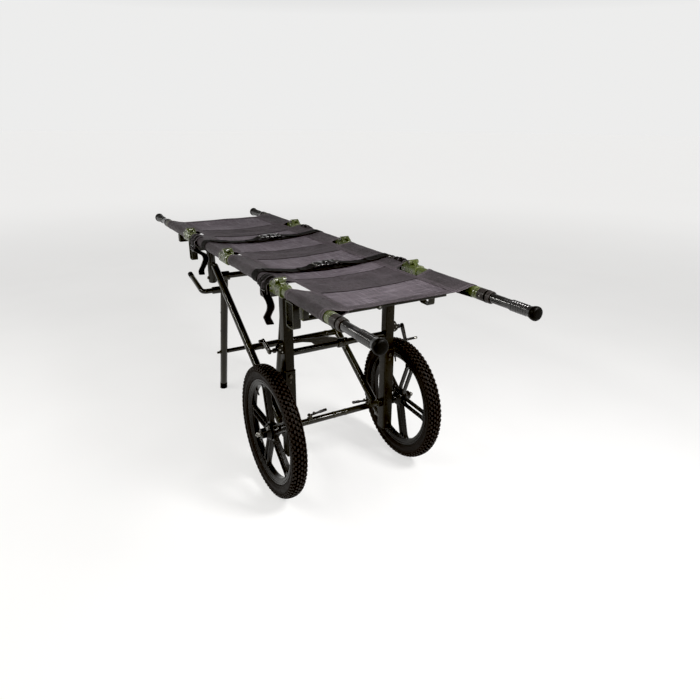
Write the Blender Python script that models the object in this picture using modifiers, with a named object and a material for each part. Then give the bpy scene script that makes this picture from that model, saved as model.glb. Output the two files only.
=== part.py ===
"""Wheeled litter carrier with a quad-fold litter lying in its cradles.

Metres, +Z up. X runs across (left is -X), Y runs along the litter (the wheels are towards -Y, the stand towards +Y).
The origin is on the ground below the litter's middle hinge.
"""

import math

import bmesh
import bpy
from mathutils import Matrix, Vector

for old in list(bpy.data.objects):
    bpy.data.objects.remove(old, do_unlink=True)

# ---------------------------------------------------------------- driving dimensions
GAP = 0.0004

# wheels, 20 x 2.125 inch
WHEEL_R = 0.260
TYRE_W = 0.053
RIM_R = 0.2042
RIM_INNER_R = 0.180
RIM_W = 0.036
WHEEL_X = 0.293
AXLE_Y = -0.442
AXLE_Z = WHEEL_R
HUB_R = 0.032
HUB_IN, HUB_OUT = 0.2446, 0.3400
PIN_R = 0.0060
BORE_R = 0.0064
SPOKE_W = 0.009
SPOKE_GAP = 0.019
LEFT_PHASE, RIGHT_PHASE = 3.5, 39.5
ROUND = 40

# front posts and their sleeves
POST_X = 0.220
POST_Y = AXLE_Y
POST_S = 0.038
SLEEVE_S = 0.044
SLEEVE_IN = 0.0388
POST_BOTTOM, POST_TOP = 0.300, 0.790
SLEEVE_BOTTOM, SLEEVE_TOP = 0.140, 0.500
CROSS_PIN_Z = 0.478

# rear uprights
REAR_Y = 0.400
UPRIGHT_R = 0.019
UPRIGHT_BOTTOM = 0.630

# braces, on one straight line in Y and Z
BRACE_X = 0.216
BRACE_R = 0.0165
BRACE_SLOPE = 0.6825
BRACE_Y0, BRACE_Z0 = -0.400, 0.194
BRACE_LOW_Y, BRACE_HIGH_Y = -0.396, 0.366

# cross bars
LOWER_Z, LOWER_R = 0.259, 0.0130
UPPER_Z, UPPER_R = 0.563, 0.0125
MID_Y, MID_R = -0.036, 0.0140
REAR_Z, REAR_R = 0.655, 0.0140

# rear stand
LEG_X = 0.162
LEG_R = 0.0180
LEG_DY, LEG_DZ = 0.1526, -0.655
STAND_BAR_Z, STAND_BAR_R = 0.228, 0.0110

# brakes
BRAKE_Y, BRAKE_Z = AXLE_Y, 0.584
BRAKE_X = 0.290
BRAKE_ARM = 0.060
BRAKE_ROD_R = 0.0050
LEFT_BRAKE_TIP_X, RIGHT_BRAKE_TIP_X = 0.306, 0.346
LEFT_BRAKE_ANGLE, RIGHT_BRAKE_ANGLE = 23.0, -117.0

# L-shaped lock levers on the stand legs
LEVER_Y, LEVER_Z = 0.416, 0.586
LEVER_X = 0.270
LEVER_R = 0.0120
LEVER_LENGTH = 0.200
LEVER_ANGLE = 13.6

# litter, 90 x 23 inches with the handles out
POLE_X = 0.2725
POLE_Z = 0.836
POLE_R = 0.019
HINGE_Y = 0.521
POLE_END = 0.950
HANDLE_TIP = 1.143
HANDLE_TRAVEL = 0.083
KNUCKLE_Z = 0.865
KNUCKLE_R = 0.0085
CASTING_L = 0.045
BED_END = 0.862
BED_X = 0.2442
FRONT_STRAP_Y, REAR_STRAP_Y = -0.345, 0.255
STRAP_W = 0.050

# ---------------------------------------------------------------- collections and materials
CARRIER = bpy.data.collections.new("wheeled_litter_carrier")
CUTTERS = bpy.data.collections.new("cutters")
for c in (CARRIER, CUTTERS):
    bpy.context.scene.collection.children.link(c)
CUTTERS.hide_render = True


def material(name, colour, roughness, metallic):
    m = bpy.data.materials.new(name)
    m.use_nodes = True
    b = m.node_tree.nodes["Principled BSDF"]
    b.inputs["Base Color"].default_value = (*colour, 1.0)
    b.inputs["Roughness"].default_value = roughness
    b.inputs["Metallic"].default_value = metallic
    m.diffuse_color = (*colour, 1.0)
    return m


OLIVE = material("olive_drab_paint", (0.060, 0.060, 0.032), 0.42, 0.0)
FRAME = material("dark_frame_paint", (0.022, 0.021, 0.014), 0.35, 0.0)
BLACK = material("black_paint", (0.012, 0.012, 0.012), 0.40, 0.0)
PLASTIC = material("black_moulded_plastic", (0.014, 0.014, 0.014), 0.45, 0.0)
TYRE = material("tyre_rubber", (0.020, 0.019, 0.018), 0.75, 0.0)
GRIP = material("grip_rubber", (0.018, 0.018, 0.018), 0.60, 0.0)
STEEL = material("dark_zinc_steel", (0.20, 0.20, 0.19), 0.35, 1.0)
MESH = material("charcoal_mesh_fabric", (0.050, 0.046, 0.052), 0.75, 0.0)
WEB = material("black_webbing", (0.012, 0.012, 0.013), 0.80, 0.0)


# ---------------------------------------------------------------- modelling helpers
def add(name, mesh, mat, helper=False):
    obj = bpy.data.objects.new(name, mesh)
    (CUTTERS if helper else CARRIER).objects.link(obj)
    if mat is not None:
        mesh.materials.append(mat)
    if helper:
        obj.hide_render = True
        obj.display_type = "WIRE"
    return obj


def along(p0, p1):
    """A frame at the middle of p0 and p1 whose Z points from p0 to p1."""
    p0, p1 = Vector(p0), Vector(p1)
    turn = (p1 - p0).to_track_quat("Z", "Y").to_matrix().to_4x4()
    return Matrix.Translation((p0 + p1) / 2) @ turn


def cylinder(name, p0, p1, r, mat=None, n=16, helper=False, r2=None):
    bm = bmesh.new()
    depth = (Vector(p1) - Vector(p0)).length
    bmesh.ops.create_cone(
        bm, cap_ends=True, segments=n, radius1=r, radius2=r if r2 is None else r2, depth=depth
    )
    mesh = bpy.data.meshes.new(name)
    bm.to_mesh(mesh)
    bm.free()
    obj = add(name, mesh, mat, helper)
    obj.matrix_world = along(p0, p1)
    mesh.shade_smooth()
    mesh.set_sharp_from_angle(angle=math.radians(40))
    return obj


def box(name, low, high, mat=None, bevel=0.0, helper=False, turn=None):
    low, high = Vector(low), Vector(high)
    size = high - low
    bm = bmesh.new()
    bmesh.ops.create_cube(bm, size=1.0, matrix=Matrix.Diagonal((*size, 1.0)))
    mesh = bpy.data.meshes.new(name)
    bm.to_mesh(mesh)
    bm.free()
    obj = add(name, mesh, mat, helper)
    obj.matrix_world = Matrix.Translation((low + high) / 2) @ (turn or Matrix.Identity(4))
    if bevel:
        m = obj.modifiers.new("rounded_edges", "BEVEL")
        m.width = bevel
        m.segments = 1
        m.limit_method = "ANGLE"
    return obj


def turned(name, profile, p0, p1, mat=None, n=16, closed=False, helper=False):
    """Turns a profile of (radius, distance from p0) about the line p0 to p1. The profile runs from the far end to the near end on its outer side."""
    mesh = bpy.data.meshes.new(name)
    bm = bmesh.new()
    verts = [bm.verts.new((r, 0.0, z)) for r, z in profile]
    for a, b in zip(verts, verts[1:]):
        bm.edges.new((a, b))
    if closed:
        bm.edges.new((verts[-1], verts[0]))
    bm.to_mesh(mesh)
    bm.free()
    obj = add(name, mesh, mat, helper)
    p0, p1 = Vector(p0), Vector(p1)
    turn = (p1 - p0).to_track_quat("Z", "Y").to_matrix().to_4x4()
    obj.matrix_world = Matrix.Translation(p0) @ turn
    s = obj.modifiers.new("turn", "SCREW")
    s.axis = "Z"
    s.angle = math.tau
    s.steps = s.render_steps = n
    s.use_merge_vertices = True
    s.merge_threshold = 0.00001
    s.use_smooth_shade = True
    return obj


def rounded_path(points, radius, steps=5):
    """The points with each inner corner replaced by an arc."""
    pts = [Vector(p) for p in points]
    out = [pts[0]]
    for a, b, c in zip(pts, pts[1:], pts[2:]):
        u, v = (a - b).normalized(), (c - b).normalized()
        half = u.angle(v) / 2
        reach = radius / math.tan(half)
        centre = b + (u + v).normalized() * radius / math.sin(half)
        s, e = b + u * reach, b + v * reach
        for i in range(steps + 1):
            w = (s - centre).normalized().slerp((e - centre).normalized(), i / steps)
            out.append(centre + w * radius)
    out.append(pts[-1])
    return out


def tube(name, points, r, mat=None, helper=False, resolution=2):
    """A round bar along the points, as a closed mesh."""
    data = bpy.data.curves.new(name + "_path", "CURVE")
    data.dimensions = "3D"
    data.bevel_depth = r
    data.bevel_resolution = resolution
    data.use_fill_caps = True
    spline = data.splines.new("POLY")
    spline.points.add(len(points) - 1)
    for p, q in zip(spline.points, points):
        p.co = (*q, 1.0)
    path = bpy.data.objects.new(name + "_path", data)
    CUTTERS.objects.link(path)
    bpy.context.view_layer.update()
    graph = bpy.context.evaluated_depsgraph_get()
    mesh = bpy.data.meshes.new_from_object(path.evaluated_get(graph))
    bm = bmesh.new()
    bm.from_mesh(mesh)
    bmesh.ops.remove_doubles(bm, verts=bm.verts, dist=0.00001)
    bmesh.ops.recalc_face_normals(bm, faces=bm.faces)
    bm.to_mesh(mesh)
    bm.free()
    mesh.materials.clear()
    bpy.data.objects.remove(path, do_unlink=True)
    mesh.shade_smooth()
    mesh.set_sharp_from_angle(angle=math.radians(50))
    return add(name, mesh, mat, helper)


def boolean(obj, other, operation):
    m = obj.modifiers.new(operation.lower() + "_" + other.name, "BOOLEAN")
    m.operation = operation
    m.object = other
    m.solver = "EXACT"
    return obj


def join(obj, *others):
    for other in others:
        boolean(obj, other, "UNION")
    return obj


def cut(obj, *others):
    for other in others:
        boolean(obj, other, "DIFFERENCE")
    return obj


AXES = {}


def axis(name, place, parent=None):
    """An empty on a joint's axis."""
    e = bpy.data.objects.new(name, None)
    e.empty_display_size = 0.05
    CARRIER.objects.link(e)
    e.location = Vector(place) - (AXES[parent] if parent else Vector((0, 0, 0)))
    if parent:
        e.parent = bpy.data.objects[parent]
    AXES[name] = Vector(place)
    return e


def hang(empty, *objs):
    """Parents pieces to an empty without moving them."""
    for o in objs:
        o.parent = bpy.data.objects[empty]
        o.matrix_parent_inverse = Matrix.Translation(-AXES[empty])


def brace_z(y):
    return BRACE_Z0 + (y - BRACE_Y0) * BRACE_SLOPE


axis("carrier", (0, 0, 0))

# ---------------------------------------------------------------- posts, sleeves, cradles, brakes, wheels
SIDES = (("left", -1), ("right", 1))
for side, s in SIDES:
    px = s * POST_X
    h = POST_S / 2
    # the square post and its outer sleeve, with a cross pin through both
    post = box(f"{side}_post", (px - h, POST_Y - h, POST_BOTTOM), (px + h, POST_Y + h, POST_TOP), FRAME, 0.002)
    o, i = SLEEVE_S / 2, SLEEVE_IN / 2
    sleeve = box(f"{side}_post_sleeve", (px - o, POST_Y - o, SLEEVE_BOTTOM), (px + o, POST_Y + o, SLEEVE_TOP), FRAME, 0.0025)
    hollow = box(f"{side}_sleeve_hollow", (px - i, POST_Y - i, SLEEVE_BOTTOM - 0.02), (px + i, POST_Y + i, SLEEVE_TOP + 0.02), helper=True)
    axle_hole = cylinder(f"{side}_axle_hole", (px + s * 0.005, AXLE_Y, AXLE_Z), (px + s * 0.035, AXLE_Y, AXLE_Z), BORE_R, helper=True)
    pin_hole = cylinder(f"{side}_cross_hole", (px, POST_Y - 0.04, CROSS_PIN_Z), (px, POST_Y + 0.04, CROSS_PIN_Z), 0.0044, n=12, helper=True)
    cut(sleeve, hollow, axle_hole, pin_hole)
    cut(post, pin_hole)
    front = POST_Y - o
    pin = turned(
        f"{side}_cross_pin",
        [(0, 0.0060), (0.0070, 0.0052), (0.0075, 0.0), (0.0040, 0.0), (0.0040, -0.050), (0, -0.050)],
        (px, front - GAP, CROSS_PIN_Z), (px, front - 0.01, CROSS_PIN_Z), STEEL, n=12,
    )
    # saddle on an arm, for the litter pole beside the post
    for end, y in (("front", POST_Y), ("rear", REAR_Y)):
        arm = box(f"{side}_{end}_cradle", (min(s * 0.201, s * 0.300), y - 0.019, 0.7905), (max(s * 0.201, s * 0.300), y + 0.019, 0.8065), FRAME, 0.0015)
        block = box(f"{side}_{end}_saddle", (min(s * 0.2450, s * 0.3000), y - 0.0315, 0.7960), (max(s * 0.2450, s * 0.3000), y + 0.0315, 0.8420), bevel=0.002, helper=True)
        seat = cylinder(f"{side}_{end}_seat", (s * POLE_X, y - 0.05, POLE_Z), (s * POLE_X, y + 0.05, POLE_Z), 0.0224, n=24, helper=True)
        mouth = box(f"{side}_{end}_mouth", (s * POLE_X - 0.0224, y - 0.05, POLE_Z), (s * POLE_X + 0.0224, y + 0.05, POLE_Z + 0.05), helper=True)
        join(arm, block)
        cut(arm, seat, mouth)
    # rear upright, with a rounded lower end
    turned(
        f"{side}_rear_upright",
        [(0, POST_TOP), (UPRIGHT_R - 0.001, POST_TOP), (UPRIGHT_R, POST_TOP - 0.001), (UPRIGHT_R, UPRIGHT_BOTTOM + 0.008), (UPRIGHT_R - 0.003, UPRIGHT_BOTTOM + 0.002), (UPRIGHT_R - 0.008, UPRIGHT_BOTTOM), (0, UPRIGHT_BOTTOM)],
        (px, REAR_Y, 0), (px, REAR_Y, 1), FRAME, n=20,
    )
    # brace with a flat lug at each end
    bx = s * BRACE_X
    brace = cylinder(f"{side}_brace", (bx, BRACE_LOW_Y, brace_z(BRACE_LOW_Y)), (bx, BRACE_HIGH_Y, brace_z(BRACE_HIGH_Y)), BRACE_R, FRAME, n=20)
    low = box(f"{side}_brace_foot", (bx - 0.009, POST_Y + o + GAP, 0.172), (bx + 0.009, -0.380, 0.214), bevel=0.002, helper=True)
    high = box(f"{side}_brace_head", (bx - 0.009, 0.345, 0.690), (bx + 0.009, REAR_Y - UPRIGHT_R - 0.0008, 0.730), bevel=0.002, helper=True)
    join(brace, low, high)
    # brake bracket welded to the post's outer face
    q = s * (POST_X + h)
    bracket = box(f"{side}_brake_bracket", (min(q - s * 0.004, q + s * 0.0225), BRAKE_Y - 0.013, BRAKE_Z - 0.016), (max(q - s * 0.004, q + s * 0.0225), BRAKE_Y + 0.013, BRAKE_Z + 0.030), bevel=0.002, helper=True)
    join(post, bracket)
    # brake crank: shaft, arm and the peg that lies on the tyre
    a = math.radians(LEFT_BRAKE_ANGLE if s < 0 else RIGHT_BRAKE_ANGLE)
    ay, az = BRAKE_Y + BRAKE_ARM * math.cos(a), BRAKE_Z + BRAKE_ARM * math.sin(a)
    tip_x = LEFT_BRAKE_TIP_X if s < 0 else RIGHT_BRAKE_TIP_X
    path = rounded_path([(s * 0.2619, BRAKE_Y, BRAKE_Z), (s * BRAKE_X, BRAKE_Y, BRAKE_Z), (s * BRAKE_X, ay, az), (s * tip_x, ay, az)], 0.008, 4)
    brake = tube(f"{side}_brake_lever", path, BRAKE_ROD_R, BLACK)
    boss = cylinder(f"{side}_brake_boss", (s * 0.2650, BRAKE_Y, BRAKE_Z), (s * 0.2760, BRAKE_Y, BRAKE_Z), 0.0090, n=14, helper=True)
    knob = cylinder(f"{side}_brake_knob", (s * (tip_x - 0.006), ay, az), (s * (tip_x + 0.002), ay, az), BRAKE_ROD_R + 0.0004, n=12, helper=True)
    join(brake, boss, knob)
    axis(f"{side}_brake_axis", (s * BRAKE_X, BRAKE_Y, BRAKE_Z), "carrier")
    hang(f"{side}_brake_axis", brake)

    # wheel: hub and rim turned about the axle, joined by five pairs of spokes
    wx = s * WHEEL_X
    axis(f"{side}_wheel_axis", (wx, AXLE_Y, AXLE_Z), "carrier")
    c0, c1 = (0, AXLE_Y, AXLE_Z), (s, AXLE_Y, AXLE_Z)
    wheel = turned(
        f"{side}_wheel",
        [(RIM_R, WHEEL_X + RIM_W / 2), (RIM_R, WHEEL_X - RIM_W / 2), (RIM_INNER_R, WHEEL_X - 0.014), (RIM_INNER_R, WHEEL_X + 0.014)],
        c0, c1, PLASTIC, n=ROUND, closed=True,
    )
    hub = turned(
        f"{side}_hub",
        [(BORE_R, HUB_OUT), (0.019, HUB_OUT), (HUB_R, WHEEL_X + 0.016), (HUB_R, WHEEL_X - 0.016), (0.019, HUB_IN), (BORE_R, HUB_IN)],
        c0, c1, n=20, closed=True, helper=True,
    )
    phase = math.radians(LEFT_PHASE if s < 0 else RIGHT_PHASE)
    bm = bmesh.new()
    for k in range(5):
        for d in (-1, 1):
            turn = Matrix.Rotation(phase + k * math.tau / 5, 4, "X")
            shift = Matrix.Translation((0, (0.024 + 0.187) / 2, d * (SPOKE_GAP + SPOKE_W) / 2))
            bmesh.ops.create_cube(bm, size=1.0, matrix=turn @ shift @ Matrix.Diagonal((0.020, 0.187 - 0.024, SPOKE_W, 1.0)))
    mesh = bpy.data.meshes.new(f"{side}_spokes")
    bm.to_mesh(mesh)
    bm.free()
    spokes = add(f"{side}_spokes", mesh, None, helper=True)
    spokes.matrix_world = Matrix.Translation((wx, AXLE_Y, AXLE_Z))
    join(wheel, spokes, hub)
    w = TYRE_W / 2
    tyre = turned(
        f"{side}_tyre",
        [(RIM_R + 0.0012, WHEEL_X + 0.017), (0.226, WHEEL_X + w), (0.246, WHEEL_X + w), (WHEEL_R, WHEEL_X + w * 0.55), (WHEEL_R, WHEEL_X - w * 0.55), (0.246, WHEEL_X - w), (0.226, WHEEL_X - w), (RIM_R + 0.0012, WHEEL_X - 0.017)],
        c0, c1, TYRE, n=ROUND, closed=True,
    )
    hang(f"{side}_wheel_axis", wheel, tyre)
    # axle pin, pulled out of the hub by its ring-shaped head
    axle = turned(
        f"{side}_axle_pin",
        [(0, 0.3600), (0.0070, 0.3590), (0.0095, 0.3560), (0.0095, HUB_OUT + GAP), (PIN_R, HUB_OUT + GAP), (PIN_R, 0.2080), (0.0045, 0.2060), (0, 0.2060)],
        c0, c1, STEEL, n=16,
    )
    axis(f"{side}_axle_pin_slide", (s * HUB_OUT, AXLE_Y, AXLE_Z), "carrier")
    hang(f"{side}_axle_pin_slide", axle)


# ---------------------------------------------------------------- cross bars
sleeve_face = POST_X - SLEEVE_S / 2
lower = cylinder("lower_cross_bar", (-sleeve_face + GAP, POST_Y, LOWER_Z), (sleeve_face - GAP, POST_Y, LOWER_Z), LOWER_R, FRAME, n=20)
for side, s in SIDES:
    collar = cylinder(f"{side}_lower_collar", (s * (sleeve_face - GAP), POST_Y, LOWER_Z), (s * (sleeve_face - 0.022), POST_Y, LOWER_Z), 0.0170, n=20, helper=True)
    pad = box(f"{side}_latch_pad", (s * 0.134 - 0.009, POST_Y - 0.008, LOWER_Z + 0.006), (s * 0.134 + 0.009, POST_Y + 0.008, LOWER_Z + 0.0160), helper=True)
    join(lower, collar, pad)
    # spring latch: a round pivot block with a short rod lying above the bar
    lz = LOWER_Z + 0.0160 + 0.0070 + 0.0006
    latch = cylinder(f"{side}_bar_latch", (s * 0.134, POST_Y - 0.009, lz), (s * 0.134, POST_Y + 0.009, lz), 0.0070, STEEL, n=14)
    rod = cylinder(f"{side}_latch_rod", (s * 0.134, POST_Y, lz + 0.0010), (s * 0.062, POST_Y, lz + 0.0090), 0.0036, n=10, helper=True)
    ball = cylinder(f"{side}_latch_knob", (s * 0.116, POST_Y, lz), (s * 0.116, POST_Y, lz + 0.012), 0.0050, n=12, helper=True)
    join(latch, rod, ball)
    axis(f"{side}_latch_axis", (s * 0.134, POST_Y, lz), "carrier")
    hang(f"{side}_latch_axis", latch)

post_face = POST_X - POST_S / 2
upper = cylinder("upper_cross_bar", (-post_face + GAP, POST_Y, UPPER_Z), (post_face - GAP, POST_Y, UPPER_Z), UPPER_R, FRAME, n=20)
coupler = turned(
    "cross_bar_coupler",
    [(0, 0.032), (0.0165, 0.032), (0.0180, 0.029), (0.0180, -0.008), (0.0165, -0.011), (0, -0.011)],
    (0, POST_Y, UPPER_Z), (1, POST_Y, UPPER_Z), n=20, helper=True,
)
join(upper, coupler)
# the lock: a low wedge on the bar with a link that arches over to the left post
low_z = UPPER_Z + UPPER_R + 0.0005
outline = [
    (-0.1090, low_z), (-0.0135, low_z), (-0.0135, 0.5880), (-0.0610, 0.6005), (-0.0900, 0.6015), (-0.1200, 0.6030),
    (-0.1600, 0.6085), (post_face * -1 + 0.0005, 0.6110), (post_face * -1 + 0.0005, 0.6000), (-0.1600, 0.5975), (-0.1240, 0.5895),
]
bm = bmesh.new()
ends = [[bm.verts.new((x, POST_Y + y, z)) for x, z in outline] for y in (-0.0080, 0.0080)]
bm.faces.new(ends[0])
bm.faces.new(list(reversed(ends[1])))
for k in range(len(outline)):
    j = (k + 1) % len(outline)
    bm.faces.new((ends[0][k], ends[1][k], ends[1][j], ends[0][j]))
bmesh.ops.recalc_face_normals(bm, faces=bm.faces)
mesh = bpy.data.meshes.new("cross_bar_lock_plate")
bm.to_mesh(mesh)
bm.free()
add("cross_bar_lock_plate", mesh, PLASTIC)
mid_end = BRACE_X - BRACE_R - 0.0005
cylinder("middle_cross_bar", (-mid_end, MID_Y, brace_z(MID_Y)), (mid_end, MID_Y, brace_z(MID_Y)), MID_R, FRAME, n=20)
rear_end = POST_X - UPRIGHT_R - 0.0005
cylinder("rear_cross_bar", (-rear_end, REAR_Y, REAR_Z), (rear_end, REAR_Y, REAR_Z), REAR_R, FRAME, n=20)

# ---------------------------------------------------------------- rear stand, hung on the rear cross bar
axis("stand_axis", (0, REAR_Y, REAR_Z), "carrier")
leg_dir = Vector((0, LEG_DY, LEG_DZ)).normalized()
leg_len = REAR_Z / -leg_dir.z
for side, s in SIDES:
    top = Vector((s * LEG_X, REAR_Y, REAR_Z))
    end = top + leg_dir * leg_len
    leg = cylinder(f"{side}_stand_leg", top + leg_dir * 0.005, top + leg_dir * (leg_len - 0.036), LEG_R, FRAME, n=20)
    eye = cylinder(f"{side}_leg_eye", top - Vector((0.023, 0, 0)), top + Vector((0.023, 0, 0)), 0.0220, n=20, helper=True)
    hole = cylinder(f"{side}_leg_hole", top - Vector((0.05, 0, 0)), top + Vector((0.05, 0, 0)), REAR_R + 0.0007, n=20, helper=True)
    at = top + leg_dir * ((REAR_Z - STAND_BAR_Z) / -leg_dir.z)
    bolt = cylinder(f"{side}_bar_bolt", at + Vector((s * 0.010, 0, 0)), at + Vector((s * 0.036, 0, 0)), 0.0065, n=12, helper=True)
    join(leg, eye, bolt)
    cut(leg, hole)
    cap = cylinder(f"{side}_foot_cap", top + leg_dir * (leg_len - 0.0355), top + leg_dir * (leg_len + 0.012), LEG_R + 0.0006, GRIP, n=20)
    floor = box(f"{side}_floor_cut", (end.x - 0.05, end.y - 0.05, -0.06), (end.x + 0.05, end.y + 0.05, 0.0), helper=True)
    cut(cap, floor)
    hang("stand_axis", leg, cap)
    # L-shaped lock lever turning on a collar at the leg's outer face
    la = math.radians(LEVER_ANGLE)
    tip = (s * LEVER_X, LEVER_Y + LEVER_LENGTH * math.cos(la), LEVER_Z + LEVER_LENGTH * math.sin(la))
    lever = tube(f"{side}_stand_lock_lever", rounded_path([(s * 0.190, LEVER_Y, LEVER_Z), (s * LEVER_X, LEVER_Y, LEVER_Z), tip], 0.020, 4), LEVER_R, FRAME)
    collar = cylinder(f"{side}_lever_collar", (s * (LEG_X + LEG_R + 0.0006), LEVER_Y, LEVER_Z), (s * 0.222, LEVER_Y, LEVER_Z), 0.0170, n=18, helper=True)
    join(lever, collar)
    axis(f"{side}_stand_lock_axis", (s * 0.200, LEVER_Y, LEVER_Z), "stand_axis")
    hang(f"{side}_stand_lock_axis", lever)
at = Vector((0, REAR_Y, REAR_Z)) + leg_dir * ((REAR_Z - STAND_BAR_Z) / -leg_dir.z)
reach = LEG_X - LEG_R - 0.0005
stand_bar = cylinder("stand_cross_bar", at - Vector((reach, 0, 0)), at + Vector((reach, 0, 0)), STAND_BAR_R, FRAME, n=18)
hang("stand_axis", stand_bar)

# ---------------------------------------------------------------- litter
axis("litter_lift", (0, 0, POLE_Z), "carrier")
axis("middle_fold", (0, 0, KNUCKLE_Z), "litter_lift")
axis("front_fold", (0, -HINGE_Y, KNUCKLE_Z), "litter_lift")
axis("rear_fold", (0, HINGE_Y, KNUCKLE_Z), "middle_fold")


def half_hinge(name, x, y, way, central):
    """One half of a pole hinge: a casting round the pole on the side that way points to, with its knuckles on top."""
    low_y, high_y = sorted((y + way * 0.0006, y + way * CASTING_L))
    parts = [box(name + "_casting", (x - 0.0235, low_y, 0.8140), (x + 0.0235, high_y, 0.8553), helper=True)]
    spans = ((-0.0078, 0.0078),) if central else ((-0.0200, -0.0084), (0.0084, 0.0200))
    for k, (a, b) in enumerate(spans):
        low_y, high_y = sorted((y, y + way * 0.024))
        parts.append(box(f"{name}_neck_{k}", (x + a, low_y, 0.8480), (x + b, high_y, 0.8705), helper=True))
        parts.append(cylinder(f"{name}_knuckle_{k}", (x + a, y, KNUCKLE_Z), (x + b, y, KNUCKLE_Z), KNUCKLE_R, n=12, helper=True))
    return parts


for side, s in SIDES:
    x = s * POLE_X
    # the two middle sections of the pole
    for end, way, body in (("front", -1, "litter_lift"), ("rear", 1, "middle_fold")):
        pole = cylinder(f"{side}_{end}_middle_pole", (x, way * 0.0006, POLE_Z), (x, way * (HINGE_Y - 0.0006), POLE_Z), POLE_R, OLIVE, n=16)
        join(pole, *half_hinge(f"{side}_{end}_centre_hinge", x, 0.0, way, central=way > 0))
        join(pole, *half_hinge(f"{side}_{end}_inner_hinge", x, way * HINGE_Y, -way, central=False))
        hang(body, pole)
    for end, way, fold in (("front", -1, "front_fold"), ("rear", 1, "rear_fold")):
        # the end section: solid up to the bore that the handle slides in, with a ferrule near its mouth
        bore = 0.0163
        length = POLE_END - HINGE_Y
        pole = turned(
            f"{side}_{end}_end_pole",
            [(0, 0.190), (bore, 0.190), (bore, length), (0.0212, length), (0.0212, length - 0.004), (0.0195, length - 0.005), (0.0195, 0.396), (0.0206, 0.394), (0.0206, 0.354), (POLE_R, 0.352), (POLE_R, 0.0006), (0, 0.0006)],
            (x, way * HINGE_Y, POLE_Z), (x, way * (HINGE_Y + 1), POLE_Z), OLIVE, n=16,
        )
        join(pole, *half_hinge(f"{side}_{end}_outer_hinge", x, way * HINGE_Y, way, central=True))
        # handle: a rubber-covered tube with ribs and a flared end
        out = -0.040 if (side, end) == ("right", "rear") else 0.0
        tip = HANDLE_TIP
        ribs = []
        for k in range(2):
            base = tip - 0.046 - k * 0.032
            ribs += [(0.0175, base - 0.002), (0.0175, base - 0.025), (0.0162, base - 0.0265), (0.0162, base - 0.0305)]
        profile = [(0, tip), (0.0200, tip - 0.0008), (0.0222, tip - 0.006), (0.0215, tip - 0.014), (0.0170, tip - 0.032), (0.0162, tip - 0.046)]
        profile += ribs[:-1] + [(0.0157, tip - 0.1075), (0.0157, 0.808), (0, 0.808)]
        profile = [(r, y + out) for r, y in profile]
        handle = turned(f"{side}_{end}_handle", profile, (x, 0, POLE_Z), (x, way, POLE_Z), GRIP, n=14)
        axis(f"{side}_{end}_handle_slide", (x, way * POLE_END, POLE_Z), fold)
        hang(fold, pole)
        hang(f"{side}_{end}_handle_slide", handle)
    # stirrup feet: a flat strip bent to a U below the pole
    for end, y0, y1, z0, body in (("front", -0.646, -0.590, 0.8165, "front_fold"), ("rear", 0.4785, 0.5195, 0.8135, "middle_fold")):
        foot = box(f"{side}_{end}_stirrup", (x - 0.014, y0, 0.727), (x + 0.014, y1, z0), OLIVE, 0.003)
        gap = box(f"{side}_{end}_stirrup_gap", (x - 0.03, y0 + 0.0045, 0.7315), (x + 0.03, y1 - 0.0045, z0 - 0.0045), helper=True)
        cut(foot, gap)
        hang(body, foot)

# spreader bars below the bed, with a knee hinge barrel in the middle
for end, y, fold in (("front", -0.700, "front_fold"), ("rear", 0.700, "rear_fold")):
    bar = box(f"{end}_spreader_bar", (-0.284, y - 0.014, 0.778), (0.284, y + 0.014, 0.788), OLIVE, 0.001)
    knee = cylinder(f"{end}_spreader_knee", (0, y - 0.016, 0.783), (0, y + 0.016, 0.783), 0.0100, n=14, helper=True)
    ends = [box(f"{side}_{end}_spreader_end", (s * 0.2725 - 0.0115, y - 0.014, 0.782), (s * 0.2725 + 0.0115, y + 0.014, 0.8165), helper=True) for side, s in SIDES]
    join(bar, knee, *ends)
    hang(fold, bar)


def sagging_sheet(name, x_half, y0, y1, edge_z, sag, thickness, mat, columns=8):
    """A sheet hanging between the poles in a shallow curve, given thickness on both sides."""
    bm = bmesh.new()
    bmesh.ops.create_grid(bm, x_segments=columns, y_segments=1, size=1.0)
    middle = (y0 + y1) / 2
    for v in bm.verts:
        x = v.co.x
        v.co = Vector((x * x_half, v.co.y * (y1 - y0) / 2, edge_z - POLE_Z - sag * (1 - x * x)))
    mesh = bpy.data.meshes.new(name)
    bm.to_mesh(mesh)
    bm.free()
    obj = add(name, mesh, mat)
    obj.location = (0, middle, POLE_Z)
    m = obj.modifiers.new("thickness", "SOLIDIFY")
    m.thickness = thickness
    m.offset = 0.0
    return obj


for name, y0, y1, body in (
    ("front_end_bed", -BED_END, -HINGE_Y - 0.006, "front_fold"),
    ("front_middle_bed", -HINGE_Y + 0.006, -0.006, "litter_lift"),
    ("rear_middle_bed", 0.006, HINGE_Y - 0.006, "middle_fold"),
    ("rear_end_bed", HINGE_Y + 0.006, BED_END, "rear_fold"),
):
    hang(body, sagging_sheet(name, BED_X, y0, y1, 0.8440, 0.0220, 0.0060, MESH))
for name, y, body in (("front_strap", FRONT_STRAP_Y, "litter_lift"), ("rear_strap", REAR_STRAP_Y, "middle_fold")):
    hang(body, sagging_sheet(name, POLE_X, y - STRAP_W / 2, y + STRAP_W / 2, 0.8590, 0.0265, 0.0030, WEB))
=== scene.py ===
import math
import random

import bmesh
import bpy
import numpy as np
from mathutils import Matrix, Vector


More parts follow.
